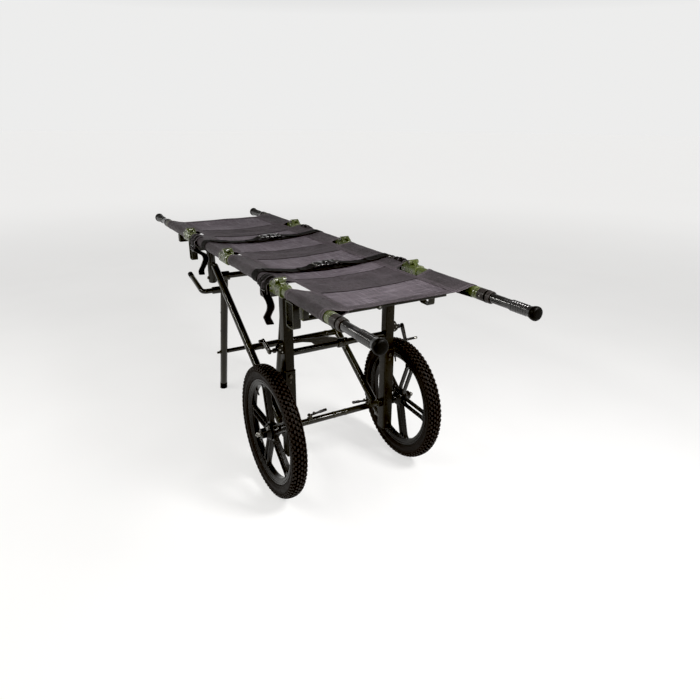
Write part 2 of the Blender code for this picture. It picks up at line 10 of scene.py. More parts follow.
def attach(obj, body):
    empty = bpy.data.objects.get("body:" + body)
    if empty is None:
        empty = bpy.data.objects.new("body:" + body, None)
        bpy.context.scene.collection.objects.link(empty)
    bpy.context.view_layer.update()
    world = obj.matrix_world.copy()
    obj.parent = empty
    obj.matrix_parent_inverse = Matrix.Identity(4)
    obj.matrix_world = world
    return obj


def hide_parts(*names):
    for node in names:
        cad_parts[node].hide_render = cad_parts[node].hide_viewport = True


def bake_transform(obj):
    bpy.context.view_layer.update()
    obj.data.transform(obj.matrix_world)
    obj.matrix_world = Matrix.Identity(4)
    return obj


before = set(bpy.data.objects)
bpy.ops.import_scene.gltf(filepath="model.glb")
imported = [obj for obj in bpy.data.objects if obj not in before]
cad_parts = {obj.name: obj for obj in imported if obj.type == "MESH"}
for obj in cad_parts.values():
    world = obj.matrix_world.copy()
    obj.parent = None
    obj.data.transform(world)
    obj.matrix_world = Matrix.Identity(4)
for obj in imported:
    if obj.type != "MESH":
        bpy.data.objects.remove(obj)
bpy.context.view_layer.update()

RND = random.Random(7)
SIDES = (("left", -1), ("right", 1))

# ---------------------------------------------------------------- dimensions shared with the frame
WHEEL_X, AXLE_Y, AXLE_Z = 0.293, -0.442, 0.260
POST_X, POST_Y, REAR_Y = 0.220, -0.442, 0.400
POLE_X, POLE_Z, POLE_R = 0.2725, 0.836, 0.019
HINGE_Y, KNUCKLE_Z = 0.521, 0.865


def brace_z(y):
    return 0.194 + (y + 0.400) * 0.6825


# ---------------------------------------------------------------- materials
def rgb(r, g, b):
    """An sRGB colour from 0 to 255 as linear numbers."""
    return tuple(((c / 255) / 12.92 if c <= 10 else ((c / 255 + 0.055) / 1.055) ** 2.4) for c in (r, g, b))


class Mat:
    def __init__(self, name, slot):
        self.m = bpy.data.materials.new(name)
        self.m.use_nodes = True
        self.m["slot"] = slot
        self.slot = slot
        self.t = self.m.node_tree
        self.b = self.t.nodes["Principled BSDF"]
        self._coord = None

    def node(self, kind, **kw):
        n = self.t.nodes.new(kind)
        for k, v in kw.items():
            setattr(n, k, v)
        return n

    def set(self, **kw):
        for k, v in kw.items():
            self.b.inputs[k.replace("_", " ")].default_value = v
        return self

    def plug(self, target, source):
        if isinstance(source, (int, float)):
            target.default_value = source
        elif isinstance(source, tuple):
            target.default_value = (*source, 1.0) if len(source) == 3 and target.type == "RGBA" else source
        else:
            self.t.links.new(source, target)

    def place(self, stretch=(1, 1, 1)):
        c = self.node("ShaderNodeTexCoord").outputs["Object"]
        if stretch == (1, 1, 1):
            return c
        m = self.node("ShaderNodeMapping")
        m.inputs["Scale"].default_value = stretch
        self.plug(m.inputs["Vector"], c)
        return m.outputs["Vector"]

    def noise(self, scale, detail=3.0, rough=0.55, stretch=(1, 1, 1), distortion=0.0):
        n = self.node("ShaderNodeTexNoise")
        n.inputs["Scale"].default_value = scale
        n.inputs["Detail"].default_value = detail
        n.inputs["Roughness"].default_value = rough
        n.inputs["Distortion"].default_value = distortion
        self.plug(n.inputs["Vector"], self.place(stretch))
        return n.outputs["Fac"]

    def math(self, op, a, b=0.0, c=0.0, clamp=False):
        n = self.node("ShaderNodeMath", operation=op)
        n.use_clamp = clamp
        self.plug(n.inputs[0], a)
        self.plug(n.inputs[1], b)
        self.plug(n.inputs[2], c)
        return n.outputs[0]

    def span(self, v, a, b, lo=0.0, hi=1.0):
        n = self.node("ShaderNodeMapRange")
        n.clamp = True
        self.plug(n.inputs["Value"], v)
        for k, x in (("From Min", a), ("From Max", b), ("To Min", lo), ("To Max", hi)):
            n.inputs[k].default_value = x
        return n.outputs["Result"]

    def mix(self, f, a, b):
        n = self.node("ShaderNodeMix", data_type="RGBA")
        self.plug(n.inputs[0], f)
        self.plug(n.inputs[6], a)
        self.plug(n.inputs[7], b)
        return n.outputs[2]

    def attribute(self, name):
        return self.node("ShaderNodeAttribute", attribute_name=name).outputs["Fac"]

    def cloth_uv(self):
        u = self.node("ShaderNodeUVMap", uv_map="cloth").outputs["UV"]
        s = self.node("ShaderNodeSeparateXYZ")
        self.plug(s.inputs[0], u)
        return s.outputs[0], s.outputs[1]

    def bump(self, heights):
        """heights: (height, strength, distance) chained."""
        last = None
        for h, strength, distance in heights:
            n = self.node("ShaderNodeBump")
            n.inputs["Strength"].default_value = strength
            n.inputs["Distance"].default_value = distance
            self.plug(n.inputs["Height"], h)
            if last is not None:
                self.plug(n.inputs["Normal"], last)
            last = n.outputs["Normal"]
        self.plug(self.b.inputs["Normal"], last)

    def colour(self, c):
        self.plug(self.b.inputs["Base Color"], c)

    def rough(self, r):
        self.plug(self.b.inputs["Roughness"], r)


def paint(name, slot, dark, light, worn, rough, spec=0.35, chips=0.72, coat=0.0, wear_amount=1.0, peel=1.0):
    """Painted metal: two close tones, fine orange peel, rubbed edges, a few chips and dust."""
    m = Mat(name, slot)
    m.set(Specular_IOR_Level=spec, Coat_Weight=coat, Coat_Roughness=0.25)
    broad, mid, fine = m.noise(9, 4), m.noise(70, 4), m.noise(420, 2)
    base = m.mix(m.span(broad, 0.35, 0.65), dark, light)
    base = m.mix(m.span(mid, 0.55, 0.75, 0.0, 0.35), base, light)
    edge = m.math("MULTIPLY", m.attribute("wear"), m.span(mid, 0.42, 0.62, 0.15, 1.0))
    chip = m.span(m.noise(150, 2, 0.7), chips, chips + 0.05)
    f = m.math("MAXIMUM", m.math("MULTIPLY", edge, wear_amount), m.math("MULTIPLY", chip, 0.8), clamp=True)
    m.colour(m.mix(f, base, worn))
    m.rough(m.span(mid, 0.3, 0.7, rough - 0.07 * peel, rough + 0.12 * peel))
    m.bump([(fine, 0.10 * peel, 0.0004), (mid, 0.12 * peel, 0.0006), (chip, 0.25 * peel, 0.0003)])
    return m


FRAME = paint("satin_olive_black_paint", "dark_frame_paint", rgb(17, 15, 7), rgb(28, 25, 13), rgb(76, 71, 50), 0.13, spec=0.38, chips=0.84, wear_amount=0.4, peel=0.3)
POST_PAINT = paint("flat_olive_black_paint", "dark_frame_paint", rgb(15, 12, 7), rgb(24, 20, 12), rgb(72, 66, 48), 0.30, spec=0.14, chips=0.80, wear_amount=0.6)
STRIP = paint("dark_olive_strip_paint", "olive_drab_paint", rgb(15, 13, 6), rgb(26, 24, 12), rgb(96, 98, 66), 0.28, spec=0.26, chips=0.78, wear_amount=0.5)
OLIVE = paint("olive_drab_cast_paint", "olive_drab_paint", rgb(38, 44, 19), rgb(68, 76, 36), rgb(160, 164, 124), 0.18, spec=0.80, chips=0.80, wear_amount=0.42)
BLACK = paint("black_enamel", "black_paint", rgb(8, 7, 6), rgb(14, 12, 10), rgb(74, 70, 62), 0.24, spec=0.24)
PLATE = paint("brown_black_moulding", "black_moulded_plastic", rgb(24, 21, 14), rgb(38, 33, 25), rgb(86, 79, 64), 0.34, spec=0.22)


def moulded(name, slot, dark, light, rough, spec, grain=600, coat=0.0):
    m = Mat(name, slot)
    m.set(Specular_IOR_Level=spec, Coat_Weight=coat, Coat_Roughness=0.2)
    broad, mid, fine = m.noise(14, 3), m.noise(110, 3), m.noise(grain, 2)
    base = m.mix(m.span(broad, 0.35, 0.65), dark, light)
    edge = m.math("MULTIPLY", m.attribute("wear"), m.span(mid, 0.4, 0.65, 0.1, 0.8))
    m.colour(m.mix(edge, base, tuple(min(1.0, c * 3.2 + 0.006) for c in light)))
    m.rough(m.span(mid, 0.3, 0.7, rough - 0.06, rough + 0.10))
    m.bump([(fine, 0.16, 0.0003), (mid, 0.10, 0.0005)])
    return m


PLASTIC = moulded("wheel_moulding", "black_moulded_plastic", rgb(7, 5, 4), rgb(13, 10, 7), 0.22, 0.20)
GRIP = moulded("grip_rubber_gloss", "grip_rubber", rgb(7, 6, 6), rgb(14, 12, 12), 0.13, 1.0, grain=300)
CAP = moulded("grip_cap_rubber", "grip_rubber", rgb(3, 3, 3), rgb(6, 5, 5), 0.48, 0.08)
COLLAR = moulded("grey_collar_rubber", "grip_rubber", rgb(26, 23, 22), rgb(40, 36, 35), 0.36, 0.26)
BUCKLE = moulded("buckle_plastic", "black_moulded_plastic", rgb(5, 4, 5), rgb(10, 8, 10), 0.13, 0.60)


def tyre_material():
    m = Mat("tyre_rubber_dusty", "tyre_rubber")
    m.set(Specular_IOR_Level=0.12, Sheen_Weight=0.02, Sheen_Roughness=0.6)
    broad, mid, fine = m.noise(16, 4), m.noise(140, 4), m.noise(700, 2)
    base = m.mix(m.span(broad, 0.35, 0.7), rgb(8, 4, 3), rgb(17, 11, 8))
    base = m.mix(m.span(mid, 0.55, 0.8, 0.0, 0.5), base, rgb(27, 20, 16))
    edge = m.math("MULTIPLY", m.attribute("wear"), m.span(mid, 0.35, 0.65, 0.15, 0.9))
    m.colour(m.mix(edge, base, rgb(43, 37, 34)))
    m.rough(m.span(mid, 0.3, 0.7, 0.50, 0.80))
    m.bump([(fine, 0.22, 0.0004), (mid, 0.15, 0.0006)])
    return m


TYRE = tyre_material()


def metal(name, slot, colour, rough):
    m = Mat(name, slot)
    m.set(Metallic=1.0)
    mid, scratch = m.noise(90, 4), m.noise(240, 2, 0.6, (1, 14, 1))
    dark = tuple(c * 0.55 for c in colour)
    m.colour(m.mix(m.span(mid, 0.35, 0.7), colour, dark))
    m.rough(m.span(scratch, 0.3, 0.7, rough - 0.08, rough + 0.15))
    m.bump([(scratch, 0.12, 0.0002), (mid, 0.10, 0.0003)])
    return m


STEEL = metal("zinc_steel", "dark_zinc_steel", rgb(150, 148, 142), 0.30)
DARK_STEEL = metal("blackened_steel", "dark_zinc_steel", rgb(74, 70, 64), 0.36)


def mesh_cloth():
    """Coated mesh: threads both ways with a hole in each cell, the holes painted near-black as shade, in the cloth's
    own flat metres.
    """
    m = Mat("coated_mesh_cloth", "charcoal_mesh_fabric")
    m.set(Specular_IOR_Level=0.16, Sheen_Weight=0.045, Sheen_Roughness=0.45)
    m.b.inputs["Sheen Tint"].default_value = (*rgb(226, 216, 232), 1.0)
    u, v = m.cloth_uv()
    pitch = 0.0046
    warp = m.math("MULTIPLY", m.math("SUBTRACT", m.noise(38, 2), 0.5), 0.0016)
    a = m.math("ABSOLUTE", m.math("SINE", m.math("MULTIPLY", m.math("ADD", u, warp), math.pi / pitch)))
    b = m.math("ABSOLUTE", m.math("SINE", m.math("MULTIPLY", m.math("ADD", v, warp), math.pi / pitch)))
    # mask of the open cells, which are painted near-black as shade
    hole = m.span(m.math("MULTIPLY", a, b), 0.40, 0.80)
    over = m.math("MULTIPLY", m.math("SINE", m.math("MULTIPLY", u, math.pi / pitch)), m.math("SINE", m.math("MULTIPLY", v, math.pi / pitch)))
    thread = m.math("ADD", m.math("MULTIPLY", over, 0.25), m.math("SUBTRACT", 1.0, m.math("MULTIPLY", a, b)))
    broad, mid, fleck = m.noise(7, 3), m.noise(60, 4, 0.6), m.noise(330, 2, 0.7)
    slub = m.math("MAXIMUM", m.noise(1.0, 1, 0.5, (7, 330, 7)), m.noise(1.0, 1, 0.5, (330, 7, 7)))
    tone = m.mix(m.span(broad, 0.35, 0.7), rgb(72, 65, 70), rgb(96, 88, 94))
    tone = m.mix(m.span(slub, 0.56, 0.72, 0.0, 0.8), tone, rgb(150, 141, 150))
    tone = m.mix(m.span(fleck, 0.55, 0.75, 0.0, 0.55), tone, rgb(150, 142, 152))
    tone = m.mix(m.span(mid, 0.5, 0.78, 0.0, 0.45), tone, rgb(44, 40, 44))
    # painted shade: the open cells of the mesh are coloured near-black
    m.colour(m.mix(hole, tone, rgb(6, 5, 6)))
    m.rough(m.span(fleck, 0.3, 0.75, 0.46, 0.66))
    m.bump([(thread, 0.75, 0.0007), (mid, 0.15, 0.0008)])
    return m


MESH = mesh_cloth()


def woven(name, slot, dark, light, pitch, sheen, rough=0.6, spec=0.35, rib=0.0):
    """Plain woven nylon or, with rib, webbing with ribs along its length."""
    m = Mat(name, slot)
    m.set(Specular_IOR_Level=spec, Sheen_Weight=sheen, Sheen_Roughness=0.4)
    m.b.inputs["Sheen Tint"].default_value = (*rgb(222, 214, 226), 1.0)
    u, v = m.cloth_uv()
    a = m.math("SINE", m.math("MULTIPLY", u, 2 * math.pi / pitch))
    b = m.math("SINE", m.math("MULTIPLY", v, 2 * math.pi / (pitch * (1.6 if rib else 1.0))))
    weave = m.math("MULTIPLY", a, b)
    if rib:
        weave = m.math("ADD", m.math("MULTIPLY", weave, 0.6), m.math("MULTIPLY", m.math("SINE", m.math("MULTIPLY", u, 2 * math.pi / rib)), 0.7))
    broad, mid, fleck = m.noise(11, 3), m.noise(75, 4, 0.6), m.noise(520, 2, 0.7)
    tone = m.mix(m.span(broad, 0.35, 0.7), dark, light)
    tone = m.mix(m.span(fleck, 0.5, 0.8, 0.0, 0.5), tone, tuple(c * 1.9 for c in light))
    slub = m.math("MAXIMUM", m.noise(1.0, 1, 0.5, (9, 260, 9)), m.noise(1.0, 1, 0.5, (260, 9, 9)))
    tone = m.mix(m.span(slub, 0.56, 0.74, 0.0, 0.45), tone, tuple(c * 1.7 for c in light))
    # painted shade: the low points of the weave are darkened
    tone = m.mix(m.span(weave, -0.9, 0.2, 0.55, 0.0), tone, tuple(c * 0.4 for c in dark))
    tone = m.mix(m.math("MULTIPLY", m.attribute("wear"), m.span(mid, 0.35, 0.6, 0.2, 0.9)), tone, tuple(c * 2.6 for c in light))
    m.colour(tone)
    m.rough(m.span(mid, 0.3, 0.7, rough - 0.08, rough + 0.10))
    m.bump([(weave, 0.45, 0.0004), (mid, 0.20, 0.0009)])
    return m


NYLON = woven("pole_sleeve_nylon", "charcoal_mesh_fabric", rgb(44, 40, 42), rgb(62, 57, 60), 0.0011, 0.035, 0.50, 0.16)
BAND = woven("reinforcing_nylon", "charcoal_mesh_fabric", rgb(48, 43, 46), rgb(66, 60, 64), 0.0012, 0.035, 0.55, 0.16)
WEB = woven("black_polyester_webbing", "black_webbing", rgb(4, 4, 4), rgb(9, 8, 8), 0.0016, 0.008, 0.60, 0.08, rib=0.0042)


def thread_material():
    m = Mat("sewing_thread", "charcoal_mesh_fabric")
    m.set(Specular_IOR_Level=0.2, Sheen_Weight=0.03)
    n, k = m.noise(900, 2), m.noise(60, 2)
    m.colour(m.mix(m.span(k, 0.35, 0.65), rgb(22, 20, 22), rgb(70, 64, 68)))
    m.rough(m.span(n, 0.3, 0.7, 0.45, 0.65))
    m.bump([(n, 0.3, 0.0002)])
    return m


THREAD = thread_material()


# ---------------------------------------------------------------- mesh building
class Piece:
    """One visible piece: closed shells collected in one mesh, in the row frame."""

    def __init__(self, name):
        self.name = name
        self.v, self.f, self.mi, self.uv, self.we, self.mats = [], [], [], [], [], []

    def put(self, verts, faces, mat, uv=None, wear=0.0):
        base = len(self.v)
        self.v.extend(tuple(float(c) for c in p) for p in verts)
        if mat not in self.mats:
            self.mats.append(mat)
        k = self.mats.index(mat)
        for i, f in enumerate(faces):
            self.f.append([base + j for j in f])
            self.mi.append(k)
            self.uv.append([uv[j] for j in f] if uv is not None else None)
            self.we.append(wear[i] if isinstance(wear, (list, tuple)) else wear)
        return self

    def mesh(self):
        me = bpy.data.meshes.new(self.name)
        me.from_pydata(self.v, [], self.f)
        for m in self.mats:
            me.materials.append(m.m)
        me.polygons.foreach_set("material_index", self.mi)
        me.polygons.foreach_set("use_smooth", [True] * len(self.f))
        uv = me.uv_layers.new(name="cloth")
        flat = []
        for f, u in zip(self.f, self.uv):
            for k, i in enumerate(f):
                flat += list(u[k]) if u is not None else [self.v[i][0] + self.v[i][2], self.v[i][1] + self.v[i][2]]
        uv.data.foreach_set("uv", np.array(flat, np.float32))
        wear = me.attributes.new("wear", "FLOAT", "CORNER")
        wear.data.foreach_set("value", np.array([w for f, w in zip(self.f, self.we) for _ in f], np.float32))
        bm = bmesh.new()
        bm.from_mesh(me)
        bmesh.ops.recalc_face_normals(bm, faces=bm.faces)
        bm.to_mesh(me)
        bm.free()
        me.set_sharp_from_angle(angle=math.radians(38))
        me.update()
        return me

    def done(self, body, *nodes, slot=None):
        obj = bpy.data.objects.new(self.name, self.mesh())
        bpy.context.scene.collection.objects.link(obj)
        if body is not None:
            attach(obj, body)
        if nodes:
            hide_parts(*nodes)
        return obj


def unit(v):
    v = np.asarray(v, float)
    return v / max(np.linalg.norm(v), 1e-12)


def basis(direction):
    d = unit(direction)
    a = np.array([0, 0, 1.0]) if abs(d[2]) < 0.9 else np.array([1.0, 0, 0])
    x = unit(np.cross(a, d))
    return x, np.cross(d, x), d


def fillet(pts, r, seg=3, closed=False):
    """A polyline with rounded corners, in two or three dimensions."""
    pts = [np.asarray(p, float) for p in pts]
    out, n = [], len(pts)
    for i, b in enumerate(pts):
        ri = r[i] if isinstance(r, (list, tuple)) else r
        if (not closed and i in (0, n - 1)) or ri <= 0:
            out.append(b)
            continue
        a, c = pts[i - 1], pts[(i + 1) % n]
        u, v = a - b, c - b
        lu, lv = np.linalg.norm(u), np.linalg.norm(v)
        u, v = u / lu, v / lv
        ang = math.acos(max(-1, min(1, float(u @ v))))
        if ang > math.pi - 0.02:
            out.append(b)
            continue
        reach = min(ri / math.tan(ang / 2), 0.46 * lu, 0.46 * lv)
        s, e = b + u * reach, b + v * reach
        for k in range(seg + 1):
            t = k / seg
            out.append((1 - t) ** 2 * s + 2 * t * (1 - t) * b + t * t * e)
    return out


def lathe(piece, profile, origin, direction, mat, n=48, closed=False, wear=None, arc=None):
    """profile of (radius, distance along direction from origin) turned about the line."""
    x, y, d = basis(direction)
    o = np.asarray(origin, float)
    verts, rings = [], []
    for r, t in profile:
        if r < 1e-7:
            rings.append([len(verts)])
            verts.append(o + d * t)
        else:
            ring = []
            for k in range(n):
                a = 2 * math.pi * k / n
                ring.append(len(verts))
                verts.append(o + d * t + (x * math.cos(a) + y * math.sin(a)) * r)
            rings.append(ring)
    faces, w = [], []
    pairs = list(zip(rings, rings[1:])) + ([(rings[-1], rings[0])] if closed else [])
    for i, (a, b) in enumerate(pairs):
        ww = 0.0 if wear is None else (wear[i] if isinstance(wear, (list, tuple)) else wear)
        for k in range(n):
            k2 = (k + 1) % n
            if len(a) == 1 and len(b) == 1:
                continue
            if len(a) == 1:
                faces.append([a[0], b[k], b[k2]])
            elif len(b) == 1:
                faces.append([a[k], b[0], a[k2]])
            else:
                faces.append([a[k], b[k], b[k2], a[k2]])
            w.append(ww)
    if not closed:
        for ring in (rings[0], rings[-1]):
            if len(ring) > 1:
                faces.append(ring)
                w.append(0.0)
    piece.put(verts, faces, mat, wear=w)


def rod(piece, p0, p1, r, mat, n=40, edge=None, r2=None):
    """A round bar with softly rounded ends."""
    p0, p1 = np.asarray(p0, float), np.asarray(p1, float)
    length = np.linalg.norm(p1 - p0)
    e = min(r * 0.14, length * 0.2) if edge is None else edge
    r2 = r if r2 is None else r2
    prof = [(0, 0), (r - e, 0), (r - e * 0.3, e * 0.3), (r, e), (r2, length - e), (r2 - e * 0.3, length - e * 0.3), (r2 - e, length), (0, length)]
    lathe(piece, prof, p0, p1 - p0, mat, n, wear=[0, 1, 1, 0, 1, 1, 0])


def sweep(piece, pts, r, mat, n=20, closed=False, cap=True, up=None):
    """A round section along a line of points. r is one radius or one for each point."""
    P = np.array([np.asarray(p, float) for p in pts])
    m = len(P)
    R = np.full(m, r) if np.isscalar(r) else np.asarray(r, float)
    if closed:
        T = np.roll(P, -1, 0) - np.roll(P, 1, 0)
    else:
        T = np.gradient(P, axis=0)
    T = T / np.linalg.norm(T, axis=1)[:, None]
    x, y, _ = basis(T[0])
    verts, faces = [], []
    first = x
    for i in range(m):
        x = unit(x - T[i] * float(x @ T[i]))
        y = np.cross(T[i], x)
        for k in range(n):
            a = 2 * math.pi * k / n
            verts.append(P[i] + (x * math.cos(a) + y * math.sin(a)) * R[i])
    for i in range(m - (0 if closed else 1)):
        j = (i + 1) % m
        for k in range(n):
            k2 = (k + 1) % n
            faces.append([i * n + k, i * n + k2, j * n + k2, j * n + k])
    if not closed and cap:
        faces.append(list(range(n)))
        faces.append([(m - 1) * n + k for k in range(n)])
    piece.put(verts, faces, mat)


def smooth_bar(piece, pts, r, mat, n=20, bend=0.01, seg=6, dome=True):
    """A round bar along straight runs with rounded bends and domed ends."""
    P = fillet(pts, bend, seg)
    if dome:
        a, b = unit(P[1] - P[0]), unit(P[-2] - P[-1])
        e = r * 0.5
        P = [P[0], P[0] + a * e * 0.3, P[0] + a * e] + P[1:-1] + [P[-1] + b * e, P[-1] + b * e * 0.3, P[-1]]
        R = [r * 0.6, r * 0.88, r] + [r] * (len(P) - 6) + [r, r * 0.88, r * 0.6]
    else:
        R = r
    sweep(piece, P, R, mat, n)


def block(piece, low, high, mat, bevel=0.002, seg=2, turn=None, wear=1.0):
    """A box with rounded edges; turn is a matrix about its centre."""
    low, high = Vector(low), Vector(high)
    size, mid = high - low, (low + high) / 2
    bm = bmesh.new()
    bmesh.ops.create_cube(bm, size=1.0, matrix=Matrix.Diagonal((*size, 1.0)))
    if bevel > 0:
        bmesh.ops.bevel(bm, geom=list(bm.edges), offset=min(bevel, min(size) * 0.45), segments=seg, profile=0.5, affect="EDGES")
    if turn is not None:
        bmesh.ops.transform(bm, matrix=turn, verts=bm.verts)
    bm.verts.index_update()
    areas = sorted((f.calc_area() for f in bm.faces), reverse=True)
    limit = areas[min(5, len(areas) - 1)] * 0.999
    verts = [v.co + mid for v in bm.verts]
    faces = [[v.index for v in f.verts] for f in bm.faces]
    w = [0.0 if f.calc_area() >= limit else wear for f in bm.faces]
    bm.free()
    piece.put(verts, faces, mat, wear=w)


def plate(piece, outline, origin, ex, ey, thickness, mat, bevel=0.0008, hole=None):
    """An outline in the plane of ex and ey, given thickness towards ex x ey. hole is a second loop with as many points."""
    o, ex, ey = np.asarray(origin, float), unit(ex), unit(ey)
    ez = np.cross(ex, ey)

    def rings(loop, inward):
        L = np.array([np.asarray(p, float) for p in loop])
        t = np.roll(L, -1, 0) - np.roll(L, 1, 0)
        t = t / np.linalg.norm(t, axis=1)[:, None]
        nrm = np.stack([-t[:, 1], t[:, 0]], 1)
        area = 0.5 * np.sum(L[:, 0] * np.roll(L[:, 1], -1) - np.roll(L[:, 0], -1) * L[:, 1])
        if area < 0:
            nrm = -nrm
        small = L + nrm * bevel * inward
        return [(small, 0.0), (L, bevel), (L, thickness - bevel), (small, thickness)]

    n = len(outline)
    verts, faces, w = [], [], []
    outer = rings(outline, 1)
    for L, t in outer:
        verts += [o + ex * p[0] + ey * p[1] + ez * t for p in L]
    for r in range(3):
        for k in range(n):
            k2 = (k + 1) % n
            faces.append([r * n + k, r * n + k2, (r + 1) * n + k2, (r + 1) * n + k])
            w.append(1.0 if r != 1 else 0.0)
    if hole is None:
        faces += [list(range(n)), [3 * n + k for k in range(n)]]
        w += [0.0, 0.0]
    else:
        b = 4 * n
        for L, t in rings(hole, -1):
            verts += [o + ex * p[0] + ey * p[1] + ez * t for p in L]
        for r in range(3):
            for k in range(n):
                k2 = (k + 1) % n
                faces.append([b + r * n + k, b + (r + 1) * n + k, b + (r + 1) * n + k2, b + r * n + k2])
                w.append(1.0 if r != 1 else 0.0)
        for k in range(n):
            k2 = (k + 1) % n
            faces.append([k, b + k, b + k2, k2])
            faces.append([3 * n + k, 3 * n + k2, b + 3 * n + k2, b + 3 * n + k])
            w += [0.0, 0.0]
    piece.put(verts, faces, mat, wear=w)


def rounded_rect(w, h, r, seg=4, centre=(0, 0)):
    c = np.asarray(centre, float)
    pts = [(-w / 2, -h / 2), (w / 2, -h / 2), (w / 2, h / 2), (-w / 2, h / 2)]
    return [p + c for p in fillet(pts, r, seg, closed=True)]


def sheet_from(piece, P, t, mat, uv=None, wear_rim=0.0):
    """A closed sheet of thickness t about a grid of points P[i, j]."""
    P = np.asarray(P, float)
    a, b, _ = P.shape
    N = np.cross(np.gradient(P, axis=0), np.gradient(P, axis=1))
    N = N / np.maximum(np.linalg.norm(N, axis=2), 1e-12)[:, :, None]
    if uv is None:
        du = np.zeros((a, b)); dv = np.zeros((a, b))
        du[1:] = np.cumsum(np.linalg.norm(np.diff(P, axis=0), axis=2), 0)
        dv[:, 1:] = np.cumsum(np.linalg.norm(np.diff(P, axis=1), axis=2), 1)
        uv = np.stack([du, dv], 2)
    top, low = P + N * t / 2, P - N * t / 2
    verts = list(top.reshape(-1, 3)) + list(low.reshape(-1, 3))
    uvs = [tuple(map(float, q)) for q in uv.reshape(-1, 2)] * 2
    k = a * b
    faces, w = [], []
    for i in range(a - 1):
        for j in range(b - 1):
            q = [i * b + j, (i + 1) * b + j, (i + 1) * b + j + 1, i * b + j + 1]
            faces.append(q)
            faces.append([k + c for c in reversed(q)])
            e = wear_rim if (j == 0 or j == b - 2 or i == 0 or i == a - 2) else 0.0
            w += [e, e]
    rim = [(i, 0) for i in range(a)] + [(a - 1, j) for j in range(1, b)] + [(i, b - 1) for i in range(a - 2, -1, -1)] + [(0, j) for j in range(b - 2, 0, -1)]
    for (i, j), (i2, j2) in zip(rim, rim[1:] + rim[:1]):
        p, q = i * b + j, i2 * b + j2
        faces.append([p, k + p, k + q, q])
        w.append(wear_rim)
    piece.put(verts, faces, mat, uv=uvs, wear=w)


def ribbon(piece, pts, across, width, t, mat, seg=4):
    """A flat strap of that width along the points; across is its width direction, one or one for each point."""
    P = np.array([np.asarray(p, float) for p in pts])
    A = np.array([unit(a) for a in (across if isinstance(across, list) else [across] * len(P))])
    j = np.linspace(-0.5, 0.5, seg + 1)
    grid = P[:, None, :] + A[:, None, :] * (j * width)[None, :, None]
    s = np.concatenate([[0], np.cumsum(np.linalg.norm(np.diff(P, axis=0), axis=1))])
    uv = np.stack([np.broadcast_to((j * width)[None, :], (len(P), seg + 1)), np.broadcast_to(s[:, None], (len(P), seg + 1))], 2)
    sheet_from(piece, grid, t, mat, uv=uv, wear_rim=0.5)


def stitches(piece, P, normal, pitch=0.0042, r=0.00045, share=0.62, mat=THREAD):
    """Short raised stitches along a line of points; normal is one vector or one for each point."""
    P = np.array([np.asarray(p, float) for p in P])
    N = np.array([unit(n) for n in (normal if isinstance(normal, list) else [normal] * len(P))])
    s = np.concatenate([[0], np.cumsum(np.linalg.norm(np.diff(P, axis=0), axis=1))])
    count = int(s[-1] / pitch)
    for k in range(count):
        a, b = (k + 0.5 - share / 2) * pitch, (k + 0.5 + share / 2) * pitch
        at = lambda q, M: np.array([np.interp(q, s, M[:, c]) for c in range(3)])
        p, q = at(a, P), at(b, P)
        n = unit(at((a + b) / 2, N))
        d = unit(q - p)
        x = np.cross(d, n)
        m = (p + q) / 2
        verts = [p - n * r * 0.5, q - n * r * 0.5, m + x * r, m - x * r, m + n * r * 1.5, m - n * r]
        faces = [[0, 2, 4], [2, 1, 4], [1, 3, 4], [3, 0, 4], [2, 0, 5], [1, 2, 5], [3, 1, 5], [0, 3, 5]]
        piece.put(verts, faces, mat)


def hex_head(piece, at, direction, size, height, mat, washer=True):
    """A hexagon bolt head on a thin washer."""
    d = unit(direction)
    at = np.asarray(at, float)
    if washer:
        lathe(piece, [(0, 0), (size * 0.72, 0), (size * 0.75, height * 0.08), (size * 0.72, height * 0.2), (0, height * 0.2)], at, d, mat, 24, wear=[0, 1, 1, 0])
    r = size / math.sqrt(3)
    lathe(piece, [(0, height * 0.2), (r, height * 0.2), (r, height * 0.85), (r * 0.86, height), (0, height)], at, d, mat, 6, wear=[0, 0, 1, 0])


def weld(piece, pts, r, mat, closed=True, n=8, ripple=0.22, pitch=0.0035):
    """A weld bead: a thin round line whose thickness ripples."""
    P = np.array([np.asarray(p, float) for p in pts])
    if closed:
        P = np.vstack([P, P[:1]])
    s = np.concatenate([[0], np.cumsum(np.linalg.norm(np.diff(P, axis=0), axis=1))])
    m = max(12, int(s[-1] / pitch * 3))
    q = np.linspace(0, s[-1], m, endpoint=not closed)
    L = np.stack([np.interp(q, s, P[:, c]) for c in range(3)], 1)
    R = r * (1 + ripple * np.abs(np.sin(q / pitch * math.pi)) - ripple / 2)
    sweep(piece, L, R, mat, n, closed=closed)


# ---------------------------------------------------------------- camera, lights, floor
cam = bpy.data.objects.new("camera", bpy.data.cameras.new("camera"))
bpy.context.scene.collection.objects.link(cam)
cam.data.sensor_width = 36.0
cam.data.lens = 583.585758 * 36 / 700
cam.data.clip_start, cam.data.clip_end = 0.02, 200
right, down, fwd = Vector((0.863217, -0.504781, 0.007201)), Vector((-0.181815, -0.324163, -0.928365)), Vector((0.470956, 0.800072, -0.371600))
turn = Matrix((right, -down, -fwd)).transposed()
cam.matrix_world = Matrix.Translation((-1.026265, -2.263724, 1.370315)) @ turn.to_4x4()
bpy.context.scene.camera = cam

